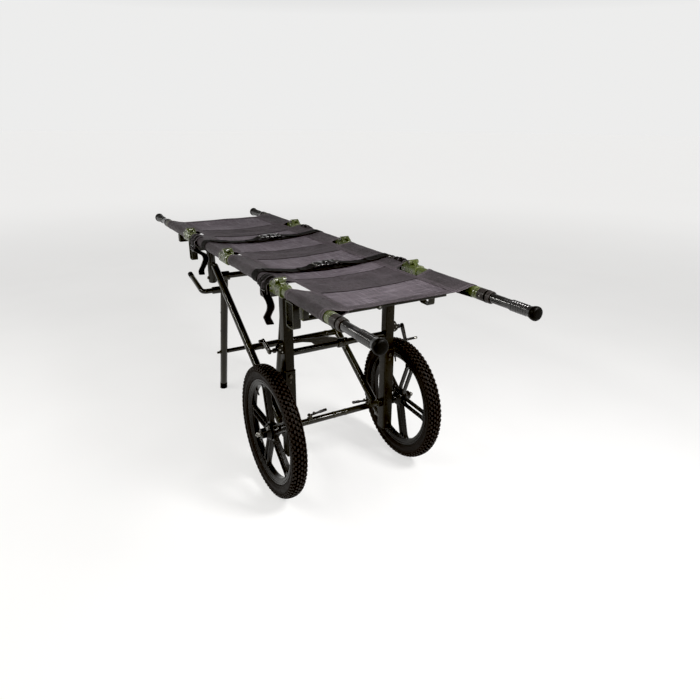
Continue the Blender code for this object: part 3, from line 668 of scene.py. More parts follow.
world = bpy.data.worlds.new("studio")
bpy.context.scene.world = world
world.use_nodes = True
wt = world.node_tree
bg = wt.nodes["Background"]
wc = wt.nodes.new("ShaderNodeTexCoord")
wsep = wt.nodes.new("ShaderNodeSeparateXYZ")
wt.links.new(wc.outputs["Generated"], wsep.inputs[0])
wr = wt.nodes.new("ShaderNodeMapRange")
wr.inputs["From Min"].default_value, wr.inputs["From Max"].default_value = 0.14, 0.34
wr.inputs["To Min"].default_value, wr.inputs["To Max"].default_value = 0.86, 0.16
wt.links.new(wsep.outputs["Z"], wr.inputs["Value"])
bg.inputs["Color"].default_value = (0.985, 0.985, 0.98, 1.0)
wt.links.new(wr.outputs["Result"], bg.inputs["Strength"])
grade = bpy.context.scene.view_settings
grade.view_transform = "Standard"
grade.use_curve_mapping = True
grade.curve_mapping.black_level = (0.0075, 0.0080, 0.0090)
grade.curve_mapping.update()


def area_light(name, at, to, size, power, colour=(1, 1, 1)):
    data = bpy.data.lights.new(name, "AREA")
    data.shape = "RECTANGLE"
    data.size, data.size_y = size
    data.energy = power
    data.color = colour
    o = bpy.data.objects.new(name, data)
    bpy.context.scene.collection.objects.link(o)
    o.location = at
    o.rotation_euler = (Vector(to) - Vector(at)).to_track_quat("-Z", "Y").to_euler()
    return o


area_light("key", (0.8, -1.95, 2.15), (0, -0.6, 0.7), (0.6, 0.6), 62, (1.0, 0.985, 0.97))
area_light("left_strip", (-2.2, 0.2, 2.2), (0, -0.1, 0.5), (3.0, 0.08), 44, (1.0, 0.985, 0.94))
area_light("top_strip", (0.1, -0.4, 2.8), (0, -0.3, 0.7), (0.25, 2.2), 6)
area_light("front_strip", (-0.2, -3.4, 2.6), (0, -0.5, 0.5), (2.4, 0.22), 26)

bm = bmesh.new()
bmesh.ops.create_circle(bm, cap_ends=True, segments=96, radius=60.0)
fm = bpy.data.meshes.new("studio_floor")
bm.to_mesh(fm)
bm.free()
floor = bpy.data.objects.new("studio_floor", fm)
bpy.context.scene.collection.objects.link(floor)
floor.location.z = -0.0005
FLOOR = Mat("pale_floor", "")
FLOOR.set(Specular_IOR_Level=0.1)
FLOOR.colour(FLOOR.mix(FLOOR.span(FLOOR.noise(1.3, 2), 0.3, 0.7), (0.34, 0.34, 0.34), (0.37, 0.37, 0.37)))
FLOOR.b.inputs["Emission Color"].default_value = (1.0, 0.995, 0.985, 1.0)
FLOOR.b.inputs["Emission Strength"].default_value = 0.60
# the floor grows a little paler with distance, so that it runs into the backdrop without a line
far = FLOOR.m.node_tree
f_at = far.nodes.new("ShaderNodeTexCoord")
f_len = far.nodes.new("ShaderNodeVectorMath")
f_len.operation = "LENGTH"
f_map = far.nodes.new("ShaderNodeMapRange")
f_map.interpolation_type = "SMOOTHSTEP"
for k, v in (("From Min", 2.2), ("From Max", 9.0), ("To Min", 0.60), ("To Max", 0.765)):
    f_map.inputs[k].default_value = v
far.links.new(f_at.outputs["Object"], f_len.inputs[0])
far.links.new(f_len.outputs["Value"], f_map.inputs["Value"])
far.links.new(f_map.outputs["Result"], FLOOR.b.inputs["Emission Strength"])
FLOOR.rough(FLOOR.span(FLOOR.noise(5, 2), 0.3, 0.7, 0.85, 0.95))
fm.materials.append(FLOOR.m)


# ---------------------------------------------------------------- wheels
def wheel(side, s):
    wx = s * WHEEL_X
    O = np.array([0.0, AXLE_Y, AXLE_Z])
    D = (s, 0, 0)
    X = WHEEL_X
    # rim: stepped ring
    w = Piece(f"{side}_wheel_moulding")
    ring = [(0.2042, X + 0.018), (0.2042, X - 0.018), (0.1990, X - 0.018), (0.1966, X - 0.0145), (0.1868, X - 0.0140), (0.1805, X - 0.0100),
            (0.1805, X + 0.0100), (0.1868, X + 0.0140), (0.1966, X + 0.0145), (0.1990, X + 0.018)]
    prof = fillet(ring, 0.0016, 2, closed=True)
    lathe(w, prof, O, D, PLASTIC, 128, closed=True, wear=[0.55 if 0.1985 < (a[0] + b[0]) / 2 < 0.2035 and abs((a[1] + b[1]) / 2 - X) > 0.0165 else 0.0 for a, b in zip(prof, prof[1:] + prof[:1])])
    for e in (-1, 1):
        lathe(w, fillet([(0.1945, X + e * 0.0145), (0.1945, X + e * 0.0158), (0.1900, X + e * 0.0156), (0.1900, X + e * 0.0138)], 0.0005, 2, closed=True), O, D, PLASTIC, 128, closed=True)
    # hub: barrel, two flanges, and ribs
    hub = [(0.0064, 0.3400), (0.0176, 0.3400), (0.0190, 0.3385), (0.0195, 0.3230), (0.0225, 0.3190), (0.0290, 0.3105), (0.0320, 0.3085), (0.0320, X - 0.0155),
           (0.0290, X - 0.0175), (0.0225, 0.2680), (0.0195, 0.2630), (0.0190, 0.2460), (0.0176, 0.2446), (0.0064, 0.2446)]
    lathe(w, fillet(hub, 0.0012, 2, closed=True), O, D, PLASTIC, 64, closed=True)
    lathe(w, fillet([(0.0150, 0.3400), (0.0150, 0.3408), (0.0115, 0.3408), (0.0115, 0.3400)], 0.0003, 1, closed=True), O, D, DARK_STEEL, 48, closed=True)
    phase = math.radians(3.5 if s < 0 else 39.5)
    y_, z_ = np.array([0, 1.0, 0]), np.array([0, 0, 1.0])
    for k in range(5):
        a = phase + k * math.tau / 5
        er, et = y_ * math.cos(a) + z_ * math.sin(a), -y_ * math.sin(a) + z_ * math.cos(a)
        # one double spoke: an outline flaring at both ends, with a long rounded slot
        n = 56
        outer, inner = [], []
        rows = [(0.024, 0.0165), (0.040, 0.0172), (0.070, 0.0182), (0.110, 0.0186), (0.150, 0.0188), (0.172, 0.0205), (0.1845, 0.0275)]
        left = [(r, -h) for r, h in rows]
        rightside = [(r, h) for r, h in reversed(rows)]
        loop = np.array(left + rightside)
        ss = np.concatenate([[0], np.cumsum(np.linalg.norm(np.diff(np.vstack([loop, loop[:1]]), axis=0), axis=1))])
        closed_loop = np.vstack([loop, loop[:1]])
        q = np.linspace(0, ss[-1], n, endpoint=False)
        outer = np.stack([np.interp(q, ss, closed_loop[:, 0]), np.interp(q, ss, closed_loop[:, 1])], 1)
        slot_rows = [(0.0405, 0.0030), (0.0440, 0.0066), (0.055, 0.0086), (0.090, 0.0094), (0.140, 0.0096), (0.160, 0.0094), (0.1690, 0.0070), (0.1725, 0.0030)]
        sl = np.array([(r, -h) for r, h in slot_rows] + [(r, h) for r, h in reversed(slot_rows)])
        sl = np.vstack([sl, sl[:1]])
        s2 = np.concatenate([[0], np.cumsum(np.linalg.norm(np.diff(sl, axis=0), axis=1))])
        q = np.linspace(0, s2[-1], n, endpoint=False)
        inner = np.stack([np.interp(q, s2, sl[:, 0]), np.interp(q, s2, sl[:, 1])], 1)
        ez = np.cross(er, et)
        plate(w, outer, O + np.array([wx, 0, 0]) - ez * 0.0085, er, et, 0.0170, PLASTIC, 0.0022, hole=inner)
        # raised rib down each spoke on both faces
        for h in (-0.0141, 0.0141):
            for e in (-1, 1):
                path = [O + np.array([wx + e * 0.0082, 0, 0]) + er * r + et * (h * (0.93 if r < 0.05 else 1.0) + (0.004 * (1 if h > 0 else -1) if r > 0.178 else 0)) for r in (0.034, 0.060, 0.100, 0.140, 0.168, 0.181)]
                smooth_bar(w, path, 0.0026, PLASTIC, 10, 0.02, 3)
        # hub bolts between the spokes
        b = a + math.tau / 10
        at = O + (y_ * math.cos(b) + z_ * math.sin(b)) * 0.0262
        for e in (-1, 1):
            lathe(w, [(0, 0), (0.0034, 0), (0.0034, 0.0022), (0.0026, 0.0032), (0, 0.0032)], at + np.array([wx + e * 0.0158, 0, 0]), (e, 0, 0), DARK_STEEL, 16, wear=[0, 0, 1, 0])
    # air valve
    v = phase + math.tau / 10
    er = y_ * math.cos(v) + z_ * math.sin(v)
    lathe(w, [(0, 0), (0.0042, 0), (0.0042, 0.006), (0.0031, 0.010), (0.0028, 0.024), (0.0020, 0.026), (0, 0.026)], O + np.array([wx, 0, 0]) + er * 0.1812, -er, PLASTIC, 16)
    w.done(f"{side}_wheel_set", f"{side}_wheel")

    # tyre: carcass with sidewall rings and rows of knobs
    t = Piece(f"{side}_tyre_knobby")
    half = [(0.2056, 0.0170), (0.2075, 0.0190), (0.2120, 0.0222), (0.2190, 0.0244), (0.2270, 0.0251), (0.2350, 0.0248), (0.2410, 0.0236), (0.2452, 0.0210), (0.2482, 0.0174), (0.2499, 0.0130), (0.2507, 0.0075), (0.2510, 0.0)]
    ring = [(r, X + x) for r, x in half] + [(r, X - x) for r, x in reversed(half[:-1])]
    lathe(t, ring, O, D, TYRE, 144, closed=True)
    for e in (-1, 1):
        for r, x, h in ((0.2092, 0.0206, 0.0012), (0.2165, 0.0241, 0.0011), (0.2330, 0.0262, 0.0009)):
            lathe(t, fillet([(r - 0.0012, X + e * (x - 0.001)), (r - 0.0008, X + e * (x + h)), (r + 0.0008, X + e * (x + h)), (r + 0.0012, X + e * (x - 0.001))], 0.0003, 1, closed=True), O, D, TYRE, 144, closed=True, wear=0.35)

    def knob(angle, radius, x, length, width, height, tilt, skew=0.0):
        er = y_ * math.cos(angle) + z_ * math.sin(angle)
        et = -y_ * math.sin(angle) + z_ * math.cos(angle)
        ex = np.array([float(s), 0, 0])
        n = unit(er * math.cos(tilt) + ex * math.sin(tilt))
        a = unit(np.cross(et, n))
        if skew:
            et2 = et * math.cos(skew) + a * math.sin(skew)
            a = np.cross(n, et2) * -1
            et = et2
        c = O + er * radius + ex * (X + x)
        lo, hi = 1.0, 0.80
        verts = []
        for lvl, k in ((-0.0016, lo), (height * 0.82, 0.92), (height, hi)):
            for i, j in ((-1, -1), (1, -1), (1, 1), (-1, 1)):
                verts.append(c + n * lvl + et * i * length / 2 * k + a * j * width / 2 * k)
        faces = [[0, 1, 2, 3], [8, 9, 10, 11]]
        wr = [0.0, 0.75]
        for lv in (0, 4):
            for k in range(4):
                k2 = (k + 1) % 4
                faces.append([lv + k, lv + k2, lv + 4 + k2, lv + 4 + k])
                wr.append(0.9 if lv else 0.0)
        t.put(verts, faces, TYRE, wear=wr)

    N = 76
    for k in range(N):
        a = math.tau * k / N
        h = math.tau / N / 2
        knob(a, 0.2508, 0.0, 0.0126, 0.0086, 0.0086, 0.0)
        for e in (-1, 1):
            knob(a + h, 0.2501, e * 0.0098, 0.0122, 0.0078, 0.0084, e * 0.16, e * 0.25)
            knob(a, 0.2474, e * 0.0176, 0.0122, 0.0076, 0.0078, e * 0.60)
            knob(a + h, 0.2428, e * 0.0220, 0.0116, 0.0086, 0.0050, e * 1.05)
            knob(a, 0.2380, e * 0.0240, 0.0060, 0.0080, 0.0022, e * 1.40)
            knob(a + h, 0.2345, e * 0.0247, 0.0050, 0.0070, 0.0014, e * 1.50)
    t.done(f"{side}_wheel_set", f"{side}_tyre")

    # axle pin: turned head with knurled rim, button and a pull ring lying against it
    p = Piece(f"{side}_axle_pin_turned")
    lathe(p, [(0, 0.3600), (0.0040, 0.3598), (0.0046, 0.3578), (0.0046, 0.3560), (0.0080, 0.3556), (0.0094, 0.3540), (0.0094, 0.3450), (0.0084, 0.3438), (0.0084, 0.3405), (0.0060, 0.3404), (0.0060, 0.2090), (0.0046, 0.2062), (0, 0.2060)],
          O, D, STEEL, 40, wear=[0, 1, 0, 0, 1, 0, 1, 0, 0, 0, 1, 0])
    for k in range(20):
        a = math.tau * k / 20
        er = y_ * math.cos(a) + z_ * math.sin(a)
        sweep(p, [O + er * 0.0092 + np.array([s * x, 0, 0]) for x in (0.3456, 0.3495, 0.3534)], 0.0006, STEEL, 6)
    p.done(f"{side}_axle_pin_body", f"{side}_axle_pin")


for side, s in SIDES:
    wheel(side, s)


# ---------------------------------------------------------------- carrier frame
def square_tube(piece, cx, cy, z0, z1, size, corner, mat, wall=None, lip=0.0008):
    """A square tube standing up, solid or open."""
    loop = rounded_rect(size, size, corner, 5, (cx, cy))
    n = len(loop)

    def ring(scale_in, z):
        out = []
        for p in loop:
            d = np.array([p[0] - cx, p[1] - cy])
            out.append((cx + d[0] * (size - 2 * scale_in) / size, cy + d[1] * (size - 2 * scale_in) / size, z))
        return out

    levels = [(lip, z0), (0, z0 + lip), (0, z1 - lip), (lip, z1)]
    w = [1, 0, 1]
    if wall:
        levels = levels + [(wall, z1), (wall, z0)]
        w = w + [1, 0, 1]
    verts = [v for a, z in levels for v in ring(a, z)]
    faces, wr = [], []
    m = len(levels)
    for i in range(m if wall else m - 1):
        j = (i + 1) % m
        for k in range(n):
            k2 = (k + 1) % n
            faces.append([i * n + k, i * n + k2, j * n + k2, j * n + k])
            wr.append(w[i] if i < len(w) else 0)
    if not wall:
        faces += [list(range(n)), [(m - 1) * n + k for k in range(n)]]
        wr += [0, 0]
    piece.put(verts, faces, mat, wear=wr)


for side, s in SIDES:
    px = s * POST_X
    out = np.array([float(s), 0, 0])
    # post with its brake bracket
    p = Piece(f"{side}_post_tube")
    square_tube(p, px, POST_Y, 0.300, 0.790, 0.038, 0.0042, POST_PAINT)
    q = s * 0.239
    cheek = [(0.2380, 0.5682), (0.2500, 0.5690), (0.2612, 0.5765), (0.2612, 0.5915), (0.2470, 0.6138), (0.2380, 0.6138)]
    for yy in (-0.0090, 0.0130):
        plate(p, fillet([(s * u, z) for u, z in cheek], [0, 0.004, 0.004, 0.005, 0.003, 0], 4, closed=True), (0, POST_Y + yy, 0), (1, 0, 0), (0, 0, 1), 0.0040, POST_PAINT, 0.0006)
    for u, z in ((0.2455, 0.6020), (0.2540, 0.5880), (0.2450, 0.5770)):
        lathe(p, [(0, -0.0138), (0.0026, -0.0138), (0.0030, -0.0134), (0.0030, 0.0134), (0.0026, 0.0138), (0, 0.0138)], (s * u, POST_Y, z), (0, 1, 0), STEEL, 20, wear=[0, 1, 0, 1, 0])
    weld(p, [(q + s * 0.0004, POST_Y - 0.0132, 0.570), (q + s * 0.0004, POST_Y - 0.0132, 0.612)], 0.0012, POST_PAINT, closed=False)
    # holes with rubbed rims and a small stop knob near the top
    lathe(p, [(0, 0), (0.0062, 0), (0.0066, 0.0006), (0.0050, 0.0034), (0.0056, 0.0042), (0.0056, 0.0092), (0.0042, 0.0104), (0, 0.0104)], (px - s * 0.004, POST_Y - 0.0188, 0.757), (0, -1, 0), DARK_STEEL, 24, wear=[0, 1, 0, 0, 1, 1, 0])
    for zz in (0.700, 0.660, 0.620):
        lathe(p, [(0.0030, -0.0002), (0.0044, 0.0001), (0.0047, 0.0005), (0.0040, 0.0007), (0.0030, 0.0004)], (px, POST_Y - 0.0190, zz), (0, -1, 0), POST_PAINT, 24, closed=True, wear=1.0)
    p.done("carrier", f"{side}_post")
    # sleeve: open tube, bright upper lip, axle boss, weld to the brace foot
    p = Piece(f"{side}_sleeve_tube")
    square_tube(p, px, POST_Y, 0.140, 0.500, 0.044, 0.0050, POST_PAINT, wall=0.0026)
    lip = rounded_rect(0.0452, 0.0452, 0.0056, 5, (px, POST_Y))
    sweep(p, [(a, b, 0.4990) for a, b in lip], 0.0009, POST_PAINT, 8, closed=True)
    lathe(p, fillet([(0.0068, 0.0), (0.0125, 0.0), (0.0125, 0.0020), (0.0095, 0.0022), (0.0068, 0.0022)], 0.0004, 1, closed=True), (s * 0.2419, AXLE_Y, AXLE_Z), (s, 0, 0), DARK_STEEL, 36, closed=True, wear=0.4)
    for zz in (0.165, 0.455):
        lathe(p, [(0, 0), (0.0046, 0), (0.0048, 0.0005), (0.0036, 0.0016), (0, 0.0018)], (px, POST_Y - 0.0218, zz), (0, -1, 0), DARK_STEEL, 24, wear=[0, 1, 1, 0])
    weld(p, [(px - 0.009, POST_Y + 0.0222, 0.174), (px - 0.009, POST_Y + 0.0222, 0.212), (px + 0.009, POST_Y + 0.0222, 0.212), (px + 0.009, POST_Y + 0.0222, 0.174)], 0.0013, POST_PAINT)
    p.done("carrier", f"{side}_post_sleeve")
    # cross pin
    p = Piece(f"{side}_cross_pin_turned")
    lathe(p, [(0, 0.0060), (0.0048, 0.0058), (0.0074, 0.0044), (0.0075, 0.0016), (0.0066, 0.0004), (0.0040, 0.0), (0.0040, -0.0490), (0.0030, -0.0500), (0, -0.0500)], (px, POST_Y - 0.0224, 0.478), (0, -1, 0), DARK_STEEL, 32, wear=[0, 0.5, 0, 0.5, 0, 0, 0.5, 0])
    p.done("carrier", f"{side}_cross_pin")

    # cradles: arm, cupped saddle, gusset-like welds
    for end, y in (("front", POST_Y), ("rear", REAR_Y)):
        c = Piece(f"{side}_{end}_cradle_cast")
        cx = s * POLE_X
        loop = [(-0.0275, 0.796), (0.0275, 0.796), (0.0275, 0.8420), (0.0243, 0.8420)]
        loop = fillet([(-0.0275, 0.7962), (0.0275, 0.7962), (0.0275, 0.8418), (0.0232, 0.8418), (0.0226, 0.8360)], [0, 0.006, 0.0014, 0.0012, 0], 3)
        arcs = [(0.0224 * math.cos(t), POLE_Z + 0.0224 * math.sin(t)) for t in np.linspace(0, -math.pi, 26)]
        back = fillet([(-0.0226, 0.8360), (-0.0232, 0.8418), (-0.0275, 0.8418), (-0.0275, 0.7962)], [0, 0.0012, 0.0014, 0.006], 3)[1:-1]
        outline = [np.array(p_) for p_ in loop[1:-1]] + [np.array(a_) for a_ in arcs] + [np.array(b_) for b_ in back] + [np.array((-0.0275, 0.7995)), np.array((-0.0245, 0.7962))]
        plate(c, [(a_[0], a_[1]) for a_ in outline], (cx, y + 0.0315, 0), (1, 0, 0), (0, 0, 1), 0.063, FRAME, 0.0012)
        lo, hi = sorted((s * 0.2012, s * 0.2990))
        block(c, (lo, y - 0.019, 0.7906), (hi, y + 0.019, 0.8064), FRAME, 0.0022)
        weld(c, [(s * 0.2452, y - 0.0185, 0.8066), (s * 0.2452, y + 0.0185, 0.8066)], 0.0016, FRAME, closed=False)
        for yy in (-0.0105, 0.0105):
            lathe(c, [(0, 0), (0.0052, 0), (0.0052, 0.0020), (0.0040, 0.0034), (0, 0.0036)], (s * 0.2160, y + yy, 0.8062), (0, 0, 1), DARK_STEEL, 24, wear=[0, 0, 1, 0])
        c.done("carrier", f"{side}_{end}_cradle")

    # rear upright
    p = Piece(f"{side}_rear_upright_tube")
    lathe(p, [(0, 0.790), (0.0180, 0.790), (0.0187, 0.7895), (0.0190, 0.7888), (0.0190, 0.6380), (0.0182, 0.6330), (0.0150, 0.6306), (0.0110, 0.6300), (0, 0.6300)], (px, REAR_Y, 0), (0, 0, 1), FRAME, 48, wear=[0, 1, 1, 0, 0, 0, 0, 0])
    for zz in (0.690, 0.730):
        lathe(p, fillet([(0.0188, zz - 0.0015), (0.0196, zz - 0.0012), (0.0196, zz + 0.0012), (0.0188, zz + 0.0015)], 0.0003, 1, closed=True), (px, REAR_Y, 0), (0, 0, 1), FRAME, 48, closed=True, wear=0.6)
    hex_head(p, (px + s * 0.0186, REAR_Y, 0.655), (s, 0, 0), 0.0120, 0.0060, DARK_STEEL)
    p.done("carrier", f"{side}_rear_upright")

    # brace with lugs
    bx = s * 0.216
    p = Piece(f"{side}_brace_tube")
    a, b = np.array([bx, -0.396, brace_z(-0.396)]), np.array([bx, 0.366, brace_z(0.366)])
    rod(p, a, b, 0.0165, FRAME, 48)
    block(p, (bx - 0.009, POST_Y + 0.0228, 0.172), (bx + 0.009, -0.380, 0.214), FRAME, 0.003)
    block(p, (bx - 0.009, 0.345, 0.690), (bx + 0.009, 0.3800, 0.730), FRAME, 0.003)
    for e in (-1, 1):
        hex_head(p, (bx + e * 0.0088, -0.4060, 0.193), (e, 0, 0), 0.0100, 0.0055, DARK_STEEL)
        hex_head(p, (bx + e * 0.0088, 0.3690, 0.712), (e, 0, 0), 0.0100, 0.0055, DARK_STEEL)
    mid = np.array([bx, -0.036, brace_z(-0.036)])
    d = unit(b - a)
    lathe(p, fillet([(0.0163, -0.017), (0.0172, -0.0165), (0.0172, 0.0165), (0.0163, 0.017)], 0.0004, 1, closed=True), mid, d, FRAME, 48, closed=True, wear=0.7)
    p.done("carrier", f"{side}_brace")

    # brake crank with peg
    p = Piece(f"{side}_brake_crank")
    ang = math.radians(23.0 if s < 0 else -117.0)
    ay, az = POST_Y + 0.060 * math.cos(ang), 0.584 + 0.060 * math.sin(ang)
    end_x = 0.3060 if s < 0 else 0.3465
    rod(p, (s * 0.2622, POST_Y, 0.584), (s * 0.2950, POST_Y, 0.584), 0.0050, BLACK, 28)
    lathe(p, [(0, 0.2650), (0.0080, 0.2650), (0.0090, 0.2658), (0.0090, 0.2752), (0.0080, 0.2760), (0, 0.2760)], (0, POST_Y, 0.584), (s, 0, 0), BLACK, 32, wear=[0, 1, 0, 1, 0])
    u, v = np.array([math.cos(ang), math.sin(ang)]), np.array([-math.sin(ang), math.cos(ang)])
    c0, c1 = np.array([POST_Y, 0.584]), np.array([ay, az])
    arm = [c1 + u * 0.0078 * math.cos(t) + v * 0.0078 * math.sin(t) for t in np.linspace(-math.pi / 2, math.pi / 2, 13)] + [c0 - u * 0.0104 * math.cos(t) - v * 0.0104 * math.sin(t) for t in np.linspace(-math.pi / 2, math.pi / 2, 13)]
    plate(p, arm, (s * 0.290 - 0.0042, 0, 0), (0, 1, 0), (0, 0, 1), 0.0084, BLACK, 0.0012)
    for f in (0.0, 0.34, 1.0):
        c = c0 + (c1 - c0) * f
        if f != 1.0:
            hex_head(p, (s * 0.2941, c[0], c[1]), (s, 0, 0), 0.0078 if f == 0 else 0.0058, 0.0040, STEEL)
    rod(p, (s * 0.2865, ay, az), (s * (end_x - 0.0004), ay, az), 0.0052, BLACK, 28)
    lathe(p, [(0, end_x - 0.0135), (0.0048, end_x - 0.0135), (0.0054, end_x - 0.0125), (0.0055, end_x - 0.0010), (0.0046, end_x + 0.0010), (0, end_x + 0.0014)], (0, ay, az), (s, 0, 0), STEEL if s > 0 else BLACK, 32, wear=[0, 1, 0, 1, 0])
    p.done(f"{side}_brake", f"{side}_brake_lever")

    # spring latch on the lower bar
    p = Piece(f"{side}_latch_turned")
    lz = 0.259 + 0.0160 + 0.0070 + 0.0006
    lathe(p, [(0, -0.0090), (0.0060, -0.0090), (0.0070, -0.0080), (0.0070, 0.0080), (0.0060, 0.0090), (0, 0.0090)], (s * 0.134, POST_Y, lz), (0, 1, 0), DARK_STEEL, 32, wear=[0, 1, 0, 1, 0])
    smooth_bar(p, [(s * 0.132, POST_Y, lz + 0.0012), (s * 0.100, POST_Y, lz + 0.0052), (s * 0.062, POST_Y, lz + 0.0090)], 0.0044, BLACK, 20, 0.02, 4)
    a, b = np.array([s * 0.0920, POST_Y, lz + 0.0060]), np.array([s * 0.0600, POST_Y, lz + 0.0092])
    d = unit(b - a)
    lathe(p, [(0, 0), (0.0050, 0.0002), (0.0058, 0.0010), (0.0058, 0.0300), (0.0050, 0.0318), (0, 0.0322)], a, d, BLACK, 28, wear=[0, 1, 0.1, 1, 0])
    lathe(p, [(0, 0), (0.0036, 0), (0.0034, 0.0050), (0.0048, 0.0066), (0.0050, 0.0102), (0.0038, 0.0120), (0, 0.0121)], (s * 0.116, POST_Y, lz), (0, 0, 1), DARK_STEEL, 24, wear=[0, 0, 0, 0.5, 1, 1])
    p.done(f"{side}_latch", f"{side}_bar_latch")

# cross bars
p = Piece("lower_cross_bar_tube")
rod(p, (-0.1976, POST_Y, 0.259), (0.1976, POST_Y, 0.259), 0.0130, FRAME, 48)
for s in (-1, 1):
    lathe(p, [(0, 0.1759), (0.0160, 0.1760), (0.0170, 0.1770), (0.0170, 0.1966), (0.0160, 0.1976), (0, 0.1976)], (0, POST_Y, 0.259), (s, 0, 0), FRAME, 48, wear=[0, 1, 0, 1, 0])
    block(p, (s * 0.134 - 0.009, POST_Y - 0.008, 0.264), (s * 0.134 + 0.009, POST_Y + 0.008, 0.2750), FRAME, 0.0018)
    hex_head(p, (s * 0.150, POST_Y - 0.0126, 0.259), (0, -1, 0), 0.0070, 0.0036, DARK_STEEL)
    lathe(p, fillet([(0.0128, s * 0.0260 - 0.006), (0.0137, s * 0.0260 - 0.0055), (0.0137, s * 0.0260 + 0.0055), (0.0128, s * 0.0260 + 0.006)], 0.0004, 1, closed=True), (0, POST_Y, 0.259), (1, 0, 0), FRAME, 48, closed=True, wear=0.6)
p.done("carrier", "lower_cross_bar")

p = Piece("upper_cross_bar_tube")
rod(p, (-0.2006, POST_Y, 0.563), (0.2006, POST_Y, 0.563), 0.0125, FRAME, 48)
lathe(p, [(0, 0.0320), (0.0165, 0.0320), (0.0178, 0.0308), (0.0180, 0.0290), (0.0180, 0.0170), (0.0168, 0.0158), (0.0168, 0.0050), (0.0180, 0.0038), (0.0180, -0.0080), (0.0165, -0.0110), (0, -0.0110)], (0, POST_Y, 0.563), (1, 0, 0), FRAME, 56, wear=[0, 1, 1, 0, 1, 0, 1, 0, 1, 0])
hex_head(p, (0.0105, POST_Y - 0.0166, 0.563), (0, -1, 0), 0.0070, 0.0034, DARK_STEEL)
for s in (-1, 1):
    weld(p, [(s * 0.2000, POST_Y + 0.0132 * math.cos(t), 0.563 + 0.0132 * math.sin(t)) for t in np.linspace(0, math.tau, 24, endpoint=False)], 0.0011, FRAME)
p.done("carrier", "upper_cross_bar")

# lock: a wedge on the bar with a link arching over to the left post
p = Piece("lock_wedge_and_link")
outline = [(-0.1090, 0.5762), (-0.0137, 0.5762), (-0.0137, 0.5878), (-0.0610, 0.6003), (-0.0900, 0.6013), (-0.1200, 0.6028), (-0.1600, 0.6083), (-0.2004, 0.6108), (-0.2004, 0.6002), (-0.1600, 0.5977), (-0.1240, 0.5897)]
plate(p, fillet(outline, [0.003, 0.002, 0.003, 0.02, 0.02, 0.03, 0.03, 0.001, 0.001, 0.03, 0.006], 4, closed=True), (0, POST_Y + 0.0080, 0), (1, 0, 0), (0, 0, 1), 0.0160, PLATE, 0.0016)
rib = [(-0.1030, 0.5800), (-0.0185, 0.5800), (-0.0185, 0.5862), (-0.0620, 0.5968), (-0.1120, 0.5975)]
inner = [(-0.0995, 0.5826), (-0.0215, 0.5826), (-0.0215, 0.5845), (-0.0625, 0.5945), (-0.1075, 0.5950)]
plate(p, fillet(rib, 0.0015, 3, closed=True), (0, POST_Y - 0.0078, 0), (1, 0, 0), (0, 0, 1), 0.0010, PLATE, 0.0002, hole=fillet(inner, 0.0010, 3, closed=True))
for xx, zz in ((-0.1300, 0.5975), (-0.1920, 0.6055)):
    lathe(p, [(0, 0), (0.0036, 0), (0.0036, 0.0008), (0.0028, 0.0015), (0, 0.0016)], (xx, POST_Y - 0.0079, zz), (0, -1, 0), DARK_STEEL, 20, wear=[0, 1, 1, 0])
p.done("carrier", "cross_bar_lock_plate")

p = Piece("middle_cross_bar_tube")
rod(p, (-0.1990, -0.036, brace_z(-0.036)), (0.1990, -0.036, brace_z(-0.036)), 0.0140, FRAME, 48)
for s in (-1, 1):
    lathe(p, fillet([(0.0138, 0.150), (0.0152, 0.1505), (0.0152, 0.1615), (0.0138, 0.162)], 0.0005, 1, closed=True), (0, -0.036, brace_z(-0.036)), (s, 0, 0), FRAME, 48, closed=True, wear=0.6)
p.done("carrier", "middle_cross_bar")

p = Piece("rear_cross_bar_tube")
rod(p, (-0.2005, REAR_Y, 0.655), (0.2005, REAR_Y, 0.655), 0.0140, FRAME, 48)
p.done("carrier", "rear_cross_bar")

